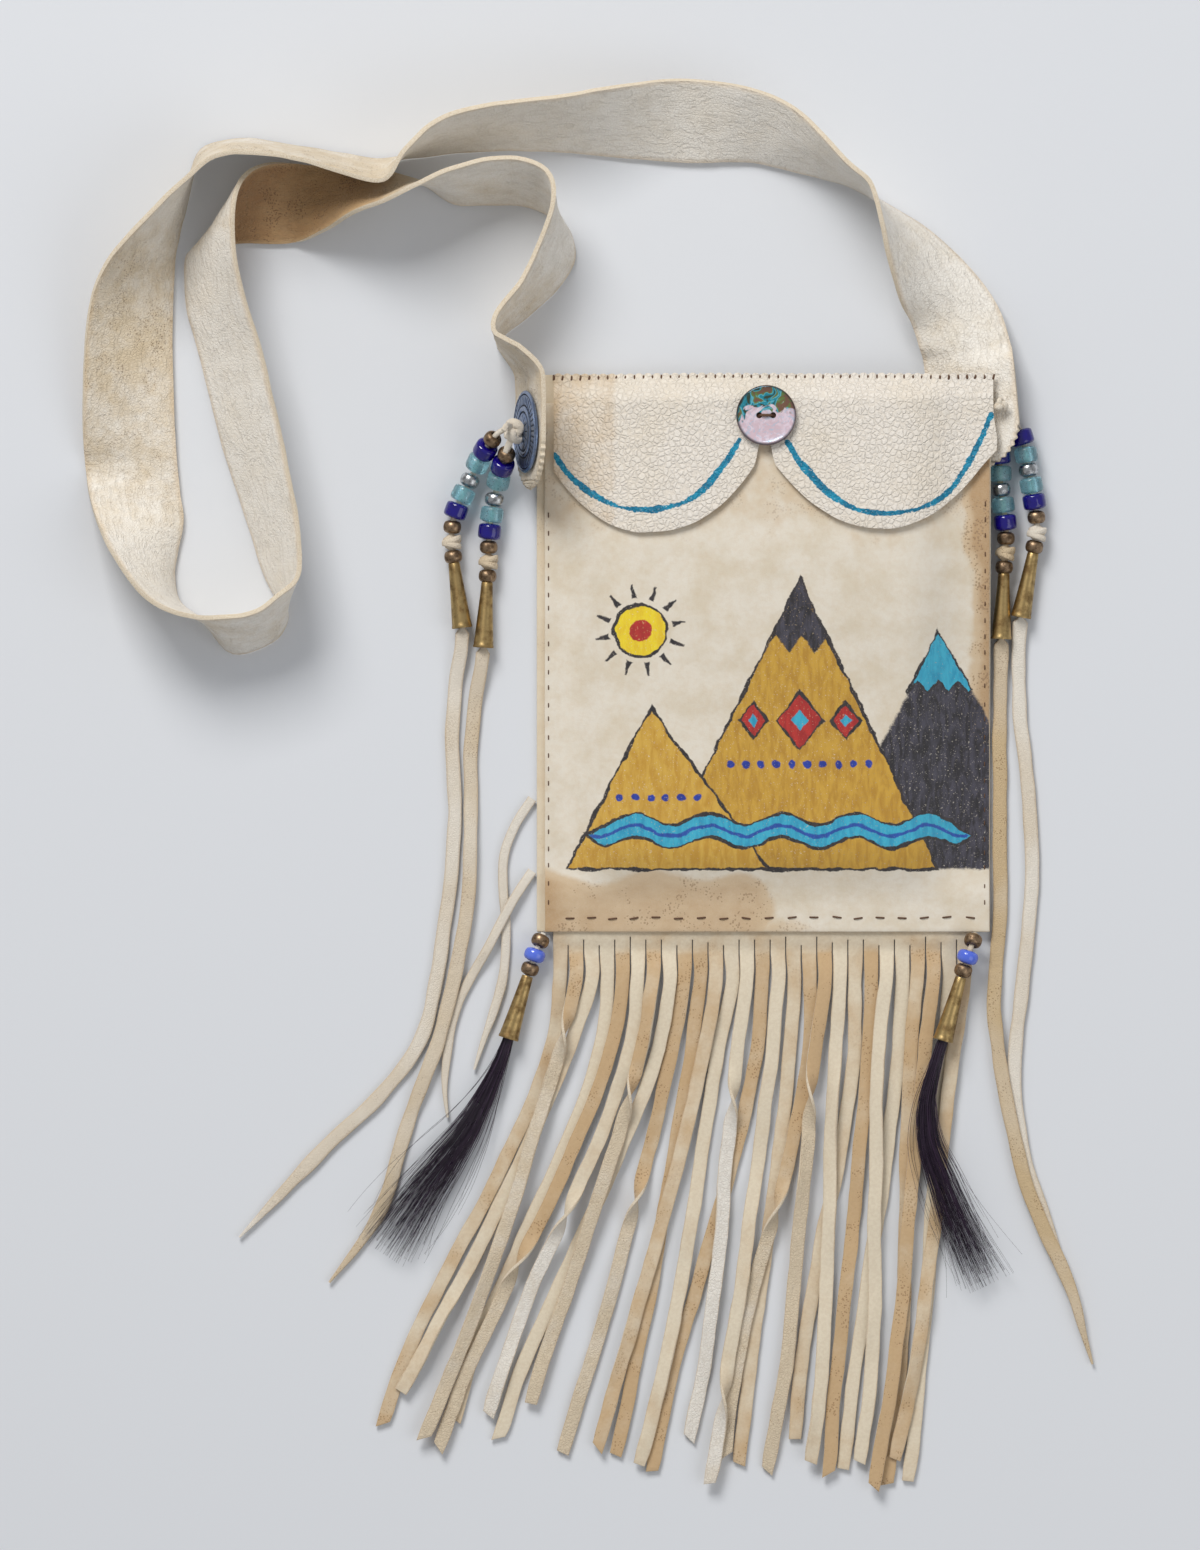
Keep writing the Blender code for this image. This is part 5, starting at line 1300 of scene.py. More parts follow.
def make_strap(materials):
    lefts, rights, rows = strap_rows()
    start = pinked_end(lefts[0], rights[0])[::-1]
    finish = pinked_end(lefts[-1], rights[-1])
    lefts = np.vstack([[pair[0] for pair in start], lefts, [pair[0] for pair in finish]])
    rights = np.vstack([[pair[1] for pair in start], rights, [pair[1] for pair in finish]])
    rows = np.concatenate([[0.0] * len(start), rows, [rows[-1]] * len(finish)])
    middles = (lefts + rights) / 2
    along = path_lengths(middles)
    ahead = np.gradient(middles, axis=0)
    across = rights - lefts
    normal = np.cross(across, ahead)
    normal /= np.linalg.norm(normal, axis=1)[:, None] + 1e-12
    columns = 15
    points = []
    edge = []
    total = along[-1]
    outer, inner = [np.interp(rows, list(tints), list(tints.values())) for tints in (STAIN_AND_SHADE_OUTER, STAIN_AND_SHADE_INNER)]
    for index in range(len(lefts)):
        free = smooth_step(min(along[index], total - along[index]) / (60 * MM) - 0.4)
        for column in range(columns):
            share = column / (columns - 1)
            spot = lefts[index] * (1 - share) + rights[index] * share
            rim = abs(2 * share - 1)
            buckle = 0.55 * wander(along[index], share * 0.03, 24 * MM, 3.0)
            buckle += 0.25 * wander(along[index], share * 0.05, 8 * MM, 5.0)
            cup = 0.5 * (1 - rim ** 2) * wander(along[index], 0.0, 70 * MM, 11.0)
            curl = 0.45 * rim ** 4 * wander(along[index], share * 0.1, 15 * MM, 8.0)
            spot = spot + normal[index] * (buckle + cup + curl) * MM * free
            spot[2] = max(spot[2], 0.95 * MM)
            points.append(spot)
            edge.append(rim)
    outer, inner, length = [np.repeat(values, columns) for values in (outer, inner, along / MM)]
    faces = grid_faces(len(lefts), columns)
    strap = leather("strap_leather", points, faces, STRAP_THICKNESS, materials["strap"], rounding=0.5,
                    outer=outer, inner=inner, edge=edge, length=length)
    show(strap, "bag", "strap", slot="white_leather")


def strap_face(name, tint, size, pores):
    """One face of the strap: white leather with tan stretches partly deepened by painted shade, painted shade
    in its grain and creases, and rubbed edges.
    """
    graph = Graph(name)
    clouds = graph.noise(17.0, 4.0, 0.6)
    dirt = graph.noise(5.0, 5.0, 0.65)
    # level: the row's stain and painted shade from the tables, with random clouds and dirt.
    level = graph.add(graph.attribute(tint), graph.times(graph.less(clouds, 0.5), 0.5),
                      graph.times(graph.less(dirt, 0.5), 0.35))
    colour = graph.mix(graph.ease(clouds, 0.35, 0.7, 0.0, 0.25), rgb(243, 238, 229), CREAM)
    colour = graph.mix(graph.ease(level, 0.16, 0.6), colour, rgb(216, 198, 168))
    colour = graph.mix(graph.ease(level, 0.55, 1.05), colour, rgb(192, 158, 114))
    colour = graph.mix(graph.ease(level, 1.0, 1.7, 0.0, 0.85), colour, rgb(146, 104, 64))
    spots = graph.times(specks(graph, 0.95, pores), graph.ease(level, 0.15, 0.62))
    colour = graph.mix(graph.times(spots, 0.65), colour, rgb(112, 78, 50))
    rim = graph.add(graph.attribute("edge"), graph.ragged(3.0, 4.0, 0.6, 0.12))
    colour = graph.mix(graph.ease(rim, 0.86, 1.0, 0.0, 0.4), colour, rgb(214, 186, 146))
    grain = pebble(graph, size)
    # Darker in the grain's valleys: painted shade.
    colour = graph.mix(graph.ease(grain, 0.1, 0.6, 0.12, 0.0), colour, rgb(176, 150, 116))
    length = graph.attribute("length")
    across = graph.attribute("edge")
    lean = graph.times(graph.noise(30.0), 22.0)
    flow_along = graph.add(graph.times(length, 0.3), lean)
    flow = graph.joined(flow_along, graph.add(graph.times(across, 18.0), lean), lean)
    creases = graph.noise(1.9, 4.0, 0.55, flow)
    lines = graph.ease(creases, 0.50, 0.62)
    # Darker along the creases: painted shade.
    colour = graph.mix(graph.ease(creases, 0.48, 0.62, 0.0, 0.09), colour, rgb(172, 152, 124))
    graph.set(Base_Color=colour, Roughness=graph.ease(grain, 0.0, 1.0, 0.8, 0.62))
    fibres = graph.times(graph.noise(0.3, 4.0, 0.6), 0.3)
    relief = graph.add(graph.times(grain, 0.8), graph.times(lines, -1.0), fibres)
    graph.set(Normal=graph.bump(relief, 0.18))
    graph.set(Sheen_Weight=0.1)
    return graph


# Conchos, ties and knots


def make_concho(which, material):
    middle, outer = strap_end_frame(which)
    seat = middle + outer * (STRAP_THICKNESS / 2 + CONCHO_GAP)
    dome = CONCHO_DOME - CONCHO_RIM
    radius = CONCHO_RADIUS
    hole = TIE_HOLE_RADIUS
    stops = [(0.0, hole, 0.3), (0.0, radius * 0.9, 0.3), (0.25 * MM, radius, 0.1),
             (CONCHO_RIM * 0.8, radius, 0.0), (CONCHO_RIM, radius * 0.985, 0.0)]
    inward = [(0.955, 0.16, 0.0), (0.93, 0.2, 0.1), (0.915, -0.1, 1.0), (0.9, -0.1, 1.0), (0.885, 0.18, 0.2),
              (0.84, 0.22, 0.1), (0.78, 0.28, 0.1), (0.72, 0.34, 0.15), (0.67, 0.38, 0.3), (0.645, 0.1, 1.0),
              (0.63, 0.1, 1.0), (0.61, 0.52, 0.15), (0.56, 0.66, 0.0), (0.51, 0.58, 0.3), (0.49, 0.3, 1.0),
              (0.47, 0.32, 1.0), (0.44, 0.62, 0.2), (0.36, 0.78, 0.1), (0.28, 0.9, 0.1), (0.2, 0.97, 0.1),
              (0.15, 1.0, 0.3)]
    stops += [(CONCHO_RIM + dome * rise, radius * share, deep) for share, rise, deep in inward]
    stops += [(CONCHO_DOME, hole + 0.3 * MM, 0.4), (CONCHO_DOME - 0.3 * MM, hole, 0.8)]
    sides = 144
    points = []
    deeps = []
    for along, away, deep in stops:
        share = away / radius
        for side in range(sides):
            angle = 2 * math.pi * side / sides
            rise = along
            dark = deep
            if 0.65 < share < 0.88:
                ray = abs(math.sin(angle * 18))
                rise -= 0.22 * MM * (1 - ray) ** 1.5
                dark = max(dark, (1 - ray) ** 1.2)
            if 0.2 < share < 0.44:
                petal = abs(math.sin(angle * 6))
                rise -= 0.18 * MM * (1 - petal) ** 2
                dark = max(dark, (1 - petal) ** 2)
            points.append((away * math.cos(angle), away * math.sin(angle), rise))
            deeps.append(dark)
    points = placed(points, axis_matrix(seat, outer))
    faces = ring_faces(len(stops), sides)
    concho = add_mesh("concho_stamped_" + which, points, faces, [material], deep=deeps)
    outward(concho, 50)
    show(concho, "bag", "concho_" + which, slot="concho_nickel")


def knot_shape(centre, axis, size, turn=0.0):
    """A small overhand knot pulled tight: a flattened tube wound over itself about the axis."""
    frame_matrix = axis_matrix(centre, axis) @ Matrix.Rotation(turn, 4, "Z")
    path = []
    for step in range(49):
        t = 2 * math.pi * step / 48
        sideways = (math.sin(t) + 1.7 * math.sin(2 * t)) * 0.30
        along = (math.cos(t) - 1.7 * math.cos(2 * t)) * 0.30
        spot = Vector((sideways, along, -math.sin(3 * t) * 0.42)) * size
        path.append(np.array(frame_matrix @ spot))
    widths = [size * 0.42 * (1 + 0.1 * math.sin(5 * math.pi * step / 24)) for step in range(49)]
    return sweep(path, [oval(width, width * 0.72, 10, 0.8) for width in widths])


def make_tie(which, inner_steps, material):
    """Thong through the concho and the strap, knotted outside. The left one has two cut ends."""
    middle, outer = strap_end_frame(which)
    face = STRAP_THICKNESS / 2 + CONCHO_GAP + CONCHO_DOME
    path = [np.array(middle + outer * (face + 2.2 * MM)), np.array(middle + outer * (face + 0.4 * MM)),
            np.array(middle - outer * (STRAP_THICKNESS / 2 + 0.5 * MM))]
    for inwards, height in inner_steps:
        path.append(np.array([BAG_LEFT + inwards * MM, middle.y, height * MM]))
    parts = [round_tube(curve_through(np.array(path), 0.6 * MM), TIE_RADIUS, 12)]
    knot_at = middle + outer * (face + (3.0 * MM if which == "left" else 2.0 * MM))
    size = 4.4 * MM if which == "left" else 2.6 * MM
    parts.append(knot_shape(knot_at, outer, size))
    if which == "left":
        ends = [((0.5, -2.0, 1.0), (2.2, -5.0, 1.5), (3.6, -8.2, 0.2)),
                ((0.8, 1.5, 1.4), (2.8, 2.2, 4.6), (4.2, 0.4, 8.0))]
        for end in ends:
            route = []
            for out, along, rise in end:
                spot = knot_at + outer * (out * MM) + Vector((0, along * MM, rise * MM))
                route.append(np.array(spot))
            fine = curve_through(np.array(route), 0.5 * MM)
            widths = np.linspace(1.5, 1.0, len(fine)) * MM
            parts.append(sweep(fine, [oval(width, 0.6 * MM, 10) for width in widths]))
    tie = one_lace("thong_tie_" + which, parts, material)
    show(tie, "bag", "tie_" + which, slot="pale_lace")


def make_edge_knot(material):
    middle, outer = strap_end_frame("right")
    x = FLAP_RIGHT + EDGE_KNOT_OUT
    y = middle.y - TIE_ABOVE_END["right"] + EDGE_KNOT_ABOVE_END
    strap_top = middle.z - (x - middle.x) * outer.x / outer.z + STRAP_THICKNESS / 2 / abs(outer.z)
    base = strap_top + GAP + 1.2 * MM * abs(outer.x / outer.z)
    stem = np.array([(x, y, base), (x, y, base + 1.0 * MM), (x, y, base + 2.0 * MM)])
    parts = [round_tube(stem, 1.2 * MM, 12)]
    parts.append(knot_shape((x - 0.6 * MM, y, base + 2.9 * MM), (0.2, 0.3, 1.0), 2.5 * MM, 0.6))
    knot = one_lace("edge_thong_knot", parts, material)
    show(knot, "bag", "edge_knot", slot="pale_lace")


# Beads, cones, laces and tassels


def bead_shape(kind):
    radius, length = BEAD_KINDS[kind]
    half = length / 2
    hole = BEAD_HOLE_RADIUS
    glassy = kind in ("navy", "aqua")
    roundness = 0.74 if glassy else 0.5
    power = 5.0 if glassy else 2.4
    profile = [(-half * 0.96, hole), (-half, hole + 0.25 * MM)]
    for step in range(13):
        share = -1 + 2 * step / 12
        bulge = (1 - abs(share) ** power) ** 0.5
        profile.append((half * share, max(radius * (roundness + (1 - roundness) * bulge), hole + 0.35 * MM)))
    profile += [(half, hole + 0.25 * MM), (half * 0.96, hole)]
    return profile


def cone_shape():
    """Profile of a hollow cone with a rolled lip at its mouth."""
    mouth = CONE_MOUTH_RADIUS
    profile = [(CONE_LENGTH, mouth - CONE_WALL),
               (CONE_LENGTH * 0.5, (mouth + BEAD_HOLE_RADIUS) / 2 - 0.3 * MM), (0.0, BEAD_HOLE_RADIUS),
               (-0.1 * MM, CONE_NECK_RADIUS - 0.15 * MM), (0.3 * MM, CONE_NECK_RADIUS)]
    for step in range(1, 10):
        share = step / 10
        profile.append((CONE_LENGTH * share, CONE_NECK_RADIUS + (mouth - CONE_NECK_RADIUS) * share ** 1.15))
    profile += [(CONE_LENGTH * 0.95, mouth - 0.12 * MM), (CONE_LENGTH * 0.975, mouth + 0.1 * MM),
                (CONE_LENGTH, mouth)]
    return profile


def lapped(points):
    """The sheet of a cone overlaps itself along one line: radius steps down around the turn."""
    shaped = []
    for x, y, z in points:
        turn = (math.atan2(y, x) / (2 * math.pi)) % 1.0
        swell = 1.0 + 0.03 * turn
        shaped.append((x * swell, y * swell, z))
    return shaped


def thread(string, path, place, order, materials, neck_bead):
    """Beads and the cone set along the path as in the source; returns spans and the pieces."""
    lengths = path_lengths(path)
    spans = []
    pieces = []
    last_axis = None
    last_radius = 0.0
    for number, kind in enumerate(order + ["cone"], start=1):
        radius, length = BEAD_KINDS.get(kind, (KNOT_RADIUS * 0.5, KNOT_LENGTH))
        if kind == "cone":
            radius, length = (METAL_BEAD_RADIUS, CONE_LENGTH + (METAL_BEAD_LENGTH if neck_bead else 0.0))
        axis = point_at(path, lengths, place + length) - point_at(path, lengths, place)
        if last_axis is not None:
            cosine = axis.dot(last_axis) / (np.linalg.norm(axis) * np.linalg.norm(last_axis))
            place += 0.5 * (radius + last_radius) * math.acos(min(cosine, 1.0))
        start = point_at(path, lengths, place)
        end = point_at(path, lengths, place + length)
        spans.append((kind, place, place + length))
        if kind in BEAD_KINDS:
            points, faces = revolve(bead_shape(kind), 36)
            matrix = axis_matrix((start + end) / 2, end - start)
            node = f"bead_{string}_{number}_{kind}"
            bead = outward(add_mesh("look_" + node, placed(points, matrix), faces, [materials[kind]]), 60)
            show(bead, "bag", node, slot=BEAD_SLOTS[kind])
            pieces.append(bead)
        if kind == "cone":
            points, faces = revolve(cone_shape(), 40)
            matrix = axis_matrix(end - Vector(end - start).normalized() * CONE_LENGTH, end - start)
            matrix = matrix @ Matrix.Rotation(1.1 + number, 4, "Z")
            parts = [(placed(lapped(points), matrix), faces)]
            slots = [0] * len(faces)
            if neck_bead:
                bead_points, bead_faces = revolve(bead_shape("bronze"), 32)
                drop = Matrix.Translation((0, 0, -METAL_BEAD_LENGTH / 2 - 0.05 * MM))
                parts.append((placed(bead_points, matrix @ drop), bead_faces))
                slots += [1] * len(bead_faces)
            points, faces = merged(parts)
            metals = [materials["brass"], materials["bronze"]]
            cone = add_mesh("look_cone_" + string, points, faces, metals, slots)
            outward(cone, 45)
            show(cone, "bag", "cone_" + string, slot="aged_brass")
            pieces.append(cone)
        last_axis = end - start
        last_radius = radius
        place += length + BEAD_SPACE
    return spans, pieces


BEAD_SLOTS = {"bronze": "bronze_bead", "silver": "silver_bead", "navy": "navy_glass", "aqua": "aqua_glass",
              "periwinkle": "periwinkle_bead"}


def edge_values(sections):
    values = []
    for section in sections:
        widest = max(abs(point[0]) for point in section)
        values += [abs(point[0]) / widest for point in section]
    return values


LACE_TINT = {"right_outer": 0.1, "right_inner": 0.85, "left_outer": 0.2, "left_inner": 0.5}


def wrap_ring(centre, axis, offset, tilt):
    """One turn of the lace round its knot, a flat band tilted across the axis."""
    axis = axis / np.linalg.norm(axis)
    side = np.cross(axis, (0.0, 0.0, 1.0))
    side /= np.linalg.norm(side)
    up = np.cross(side, axis)
    around = 28
    section = oval(1.2 * MM, 0.75 * MM, 10, 0.7)
    points = []
    for step in range(around):
        angle = 2 * math.pi * step / around
        away = side * math.cos(angle) + up * math.sin(angle)
        along = offset + math.tan(tilt) * KNOT_RADIUS * math.cos(angle)
        heart = centre + axis * along + away * KNOT_RADIUS * 0.92
        for wide, thick in section:
            points.append(heart + axis * wide + away * thick)
    return points, ring_faces(around, len(section))


def make_lace(string, pile, materials):
    path = beaded_path(string)
    first_bead = LACE_STARTS[string][2] * MM
    spans, pieces = thread(string, path, first_bead, STRING_ORDER, materials, True)
    lengths = path_lengths(path)
    tail_start = spans[-1][2]
    total = lengths[-1]
    # coarse stations laid as in the source, then followed closely
    steps = [0.0]
    wide = [POST_RADIUS]
    thick = [POST_RADIUS]
    for kind, start, end in spans:
        shares = [(0.0, 0.0), (1.0, 0.0)]
        if kind == "knot":
            shares = [(0.0, 0.0), (0.2, 0.8), (0.5, 1.0), (0.8, 0.8), (1.0, 0.0)]
        for share, swell in shares:
            steps.append(start + (end - start) * share)
            wide.append(POST_RADIUS + (KNOT_RADIUS - POST_RADIUS) * swell)
            thick.append(POST_RADIUS + (KNOT_RADIUS * 0.8 - POST_RADIUS) * swell)
    first_flat = len(steps)
    for step in np.linspace(tail_start + 5 * MM, total, LACE_STATIONS):
        taper = min(1.0, 0.15 + (total - step) / (40 * MM))
        blend = smooth_step((step - tail_start) / (14 * MM))
        steps.append(step)
        wide.append(POST_RADIUS + (LACE_WIDTH / 2 * taper - POST_RADIUS) * blend)
        thick.append(POST_RADIUS + (LACE_THICKNESS / 2 - POST_RADIUS) * blend)
    stations = np.array([point_at(path, lengths, step) for step in steps])
    stations = lay_over(pile, stations, wide, thick, first_flat)
    knot_start, knot_end = [(start, end) for kind, start, end in spans if kind == "knot"][0]
    beaded_steps = np.arange(0.0, tail_start, 0.8 * MM)
    fine_steps = np.concatenate([beaded_steps, np.arange(tail_start, total, 2.2 * MM), [total]])
    rings = []
    sections = []
    for step in fine_steps:
        spot = point_at(path, lengths, step)
        spot[2] = np.interp(step, steps, stations[:, 2])
        half_wide = np.interp(step, steps, wide)
        half_thick = np.interp(step, steps, thick)
        square = 0.95
        if step > tail_start:
            square = 0.95 - 0.4 * smooth_step((step - tail_start) / (3 * MM))
            flat_share = smooth_step((step - tail_start + 2 * MM) / (3 * MM))
            taper = min(1.0, (total - step) / (40 * MM))
            half_wide = max(half_wide, POST_RADIUS + (LACE_WIDTH / 2 * taper - POST_RADIUS) * flat_share)
            half_wide *= 1 + 0.13 * wander(step, 0.0, 11 * MM, 20.0 + len(string))
            spot[0] += 0.5 * MM * wander(step, 1.0, 16 * MM, 3.0) * smooth_step((total - step) / (20 * MM))
        section = oval(half_wide, half_thick, 14, square)
        if knot_start - 0.5 * MM < step < knot_end + 0.5 * MM:
            turned = []
            for side, (sideways, rise) in enumerate(section):
                angle = 2 * math.pi * side / 14
                swell = 1 + 0.16 * math.sin(2 * angle + (step - knot_start) * 1400)
                swell += 0.08 * math.sin(3 * angle)
                turned.append((sideways * swell, rise * swell))
            section = turned
        rings.append(spot)
        sections.append(section)
    rings = np.array(rings)
    middle = int(np.searchsorted(fine_steps, (knot_start + knot_end) / 2))
    axis = rings[middle + 1] - rings[middle - 1]
    parts = [sweep(rings, sections)]
    for offset, tilt in ((-0.8, 0.28), (0.8, -0.22)):
        parts.append(wrap_ring(rings[middle], axis, offset * MM, tilt))
    points, faces = merged(parts)
    values = list(edge_values(sections))
    values += [0.0] * (len(points) - len(values))
    lace = outward(add_mesh("look_lace_" + string, points, faces, [materials["lace"]], edge=values), 70)
    show(lace, "bag", "lace_" + string, slot="pale_lace")


def make_thin_lace(name, pile, material):
    route = np.array(THIN_LACE_ROUTES[name]) * MM + np.array([BAG_LEFT, 0.0])
    coarse = smooth_path(route, THIN_LACE_STATIONS)
    coarse = np.column_stack([coarse, np.full(len(coarse), TAIL_LIES_AT)])
    lengths = path_lengths(coarse)
    wide = THIN_LACE_WIDTH / 2 * np.minimum(1.0, 0.25 + (lengths[-1] - lengths) / (33 * MM))
    thick = np.full(len(coarse), LACE_THICKNESS / 2)
    coarse = lay_over(pile, coarse, wide, thick, 1)
    rings = curve_through(coarse, 1.8 * MM)
    fine_lengths = path_lengths(rings)
    share = fine_lengths / fine_lengths[-1] * lengths[-1]
    half_wide = np.interp(share, lengths, wide)
    sections = [oval(width * (1 + 0.1 * wander(step, 0.0, 9 * MM, 31.0)), LACE_THICKNESS / 2, 12)
                for step, width in zip(fine_lengths, half_wide)]
    points, faces = sweep(rings, sections)
    lace = outward(add_mesh("look_" + name, points, faces, [material], edge=edge_values(sections)), 70)
    show(lace, "bag", name, slot="pale_lace")


HAIR_STRANDS = 300


def make_tassel(name, pile, materials):
    corner = np.array([BAG_LEFT if name == "corner_left" else BAG_RIGHT, BAG_BOTTOM, 0.0])
    path = smooth_path(np.array(TASSEL_ROUTES[name]) * MM + corner, 300)
    spans, _ = thread(name, path, 0.8 * MM, TASSEL_ORDER, materials, False)
    lengths = path_lengths(path)
    hair_start = spans[-1][2] - 5.0 * MM
    steps = list(np.linspace(0.0, hair_start, 8))
    steps += list(np.linspace(hair_start, lengths[-1], HAIR_STATIONS)[1:])
    wide = []
    thick = []
    for step in steps:
        share = (step - hair_start) / (lengths[-1] - hair_start)
        grown = max(share, 0.0)
        if share < 0:
            wide.append(POST_RADIUS)
            thick.append(POST_RADIUS)
        elif share < 1:
            wide.append((2.2 + 10.5 * grown ** 1.4) * MM)
            thick.append((2.2 + 0.4 * grown) * MM)
        else:
            wide.append(9.0 * MM)
            thick.append(1.0 * MM)
    stations = np.array([point_at(path, lengths, step) for step in steps])
    stations = lay_over(pile, stations, wide, thick, 8)
    post = curve_through(stations[:8], 1.0 * MM)
    cord = one_lace("tassel_cord_" + name, [round_tube(post, POST_RADIUS, 10)], materials["lace"])
    show(cord, "bag", "hair_" + name, slot="pale_lace")
    lock = curve_through(stations[7:], 3.0 * MM)
    lock_lengths = path_lengths(lock)
    lock_share = lock_lengths / lock_lengths[-1]
    across, upward = frames_along(lock)
    chance = random.Random(5 if name == "corner_left" else 6)
    parts = []
    strands = []
    wide_end = 10.5 if name == "corner_left" else 7.0
    for _ in range(HAIR_STRANDS):
        angle = chance.uniform(0, 2 * math.pi)
        away = math.sqrt(chance.random())
        side = away * math.cos(angle)
        rise = away * math.sin(angle)
        stray = chance.random() < 0.1
        reach = chance.uniform(0.66, 1.0) if chance.random() < 0.5 else chance.uniform(0.86, 1.03)
        drift = chance.gauss(0, 1.0 if not stray else 3.4)
        bow = chance.gauss(0, 1.0) * (7.0 if stray else 1.2)
        wave = chance.uniform(0, 6.28)
        # shade: how much painted purple reflection this hair gets.
        shade = chance.random() ** 2
        hair = []
        for index, share in enumerate(lock_share):
            if share > reach:
                break
            spread_wide = (1.9 + wide_end * share ** 1.4) * MM
            spread_thick = (1.9 - 0.5 * share) * MM
            sway = drift * 2.2 * MM * share ** 2 + bow * MM * share * math.sin(share * math.pi)
            sway += 0.45 * MM * math.sin(share * 9 + wave) * share
            spot = lock[index] + across[index] * (side * spread_wide + sway)
            spot = spot + upward[index] * (rise * spread_thick)
            spot[2] = max(spot[2], 0.25 * MM)
            hair.append(spot)
        if len(hair) < 4:
            continue
        hair = np.array(hair)
        radii = np.linspace(0.15, 0.05, len(hair)) * MM
        hair_points, hair_faces = round_tube(hair, list(radii), 3)
        parts.append((hair_points, hair_faces))
        strands += [shade] * len(hair_points)
    points, faces = merged(parts)
    hair = add_mesh("look_hair_" + name, points, faces, [materials["hair"]], strand=strands)
    show(hair, "bag", "hair_" + name, slot="black_hair")


# Fringe


def laid_strips(pile):
    """Each strip's coarse stations, laid over one another in the source's order."""
    count = len(STRIP_TIPS)
    pitch = (FRINGE_RIGHT - FRINGE_LEFT) / count
    width = pitch - STRIP_SLIT
    slit_y = BAG_BOTTOM - FRINGE_BAND
    floor_z = FRINGE_THICKNESS / 2 + 0.1 * MM
    chance = random.Random(11)
    order = list(range(count))
    chance.shuffle(order)
    sways = [chance.uniform(-9, 9) * MM for _ in range(count)]
    strips = {}
    for number in order:
        root = (FRINGE_LEFT + pitch * (number + 0.5), slit_y)
        tip = np.array(STRIP_TIPS[number]) * MM
        plan = strip_path(root, tip, sways[number])
        stations = np.column_stack([plan, np.full(len(plan), floor_z)])
        half_widths = np.full(len(plan), width / 2)
        half_thicknesses = np.full(len(plan), FRINGE_THICKNESS / 2)
        strips[number] = lay_over(pile, stations, half_widths, half_thicknesses, 1)
    return strips


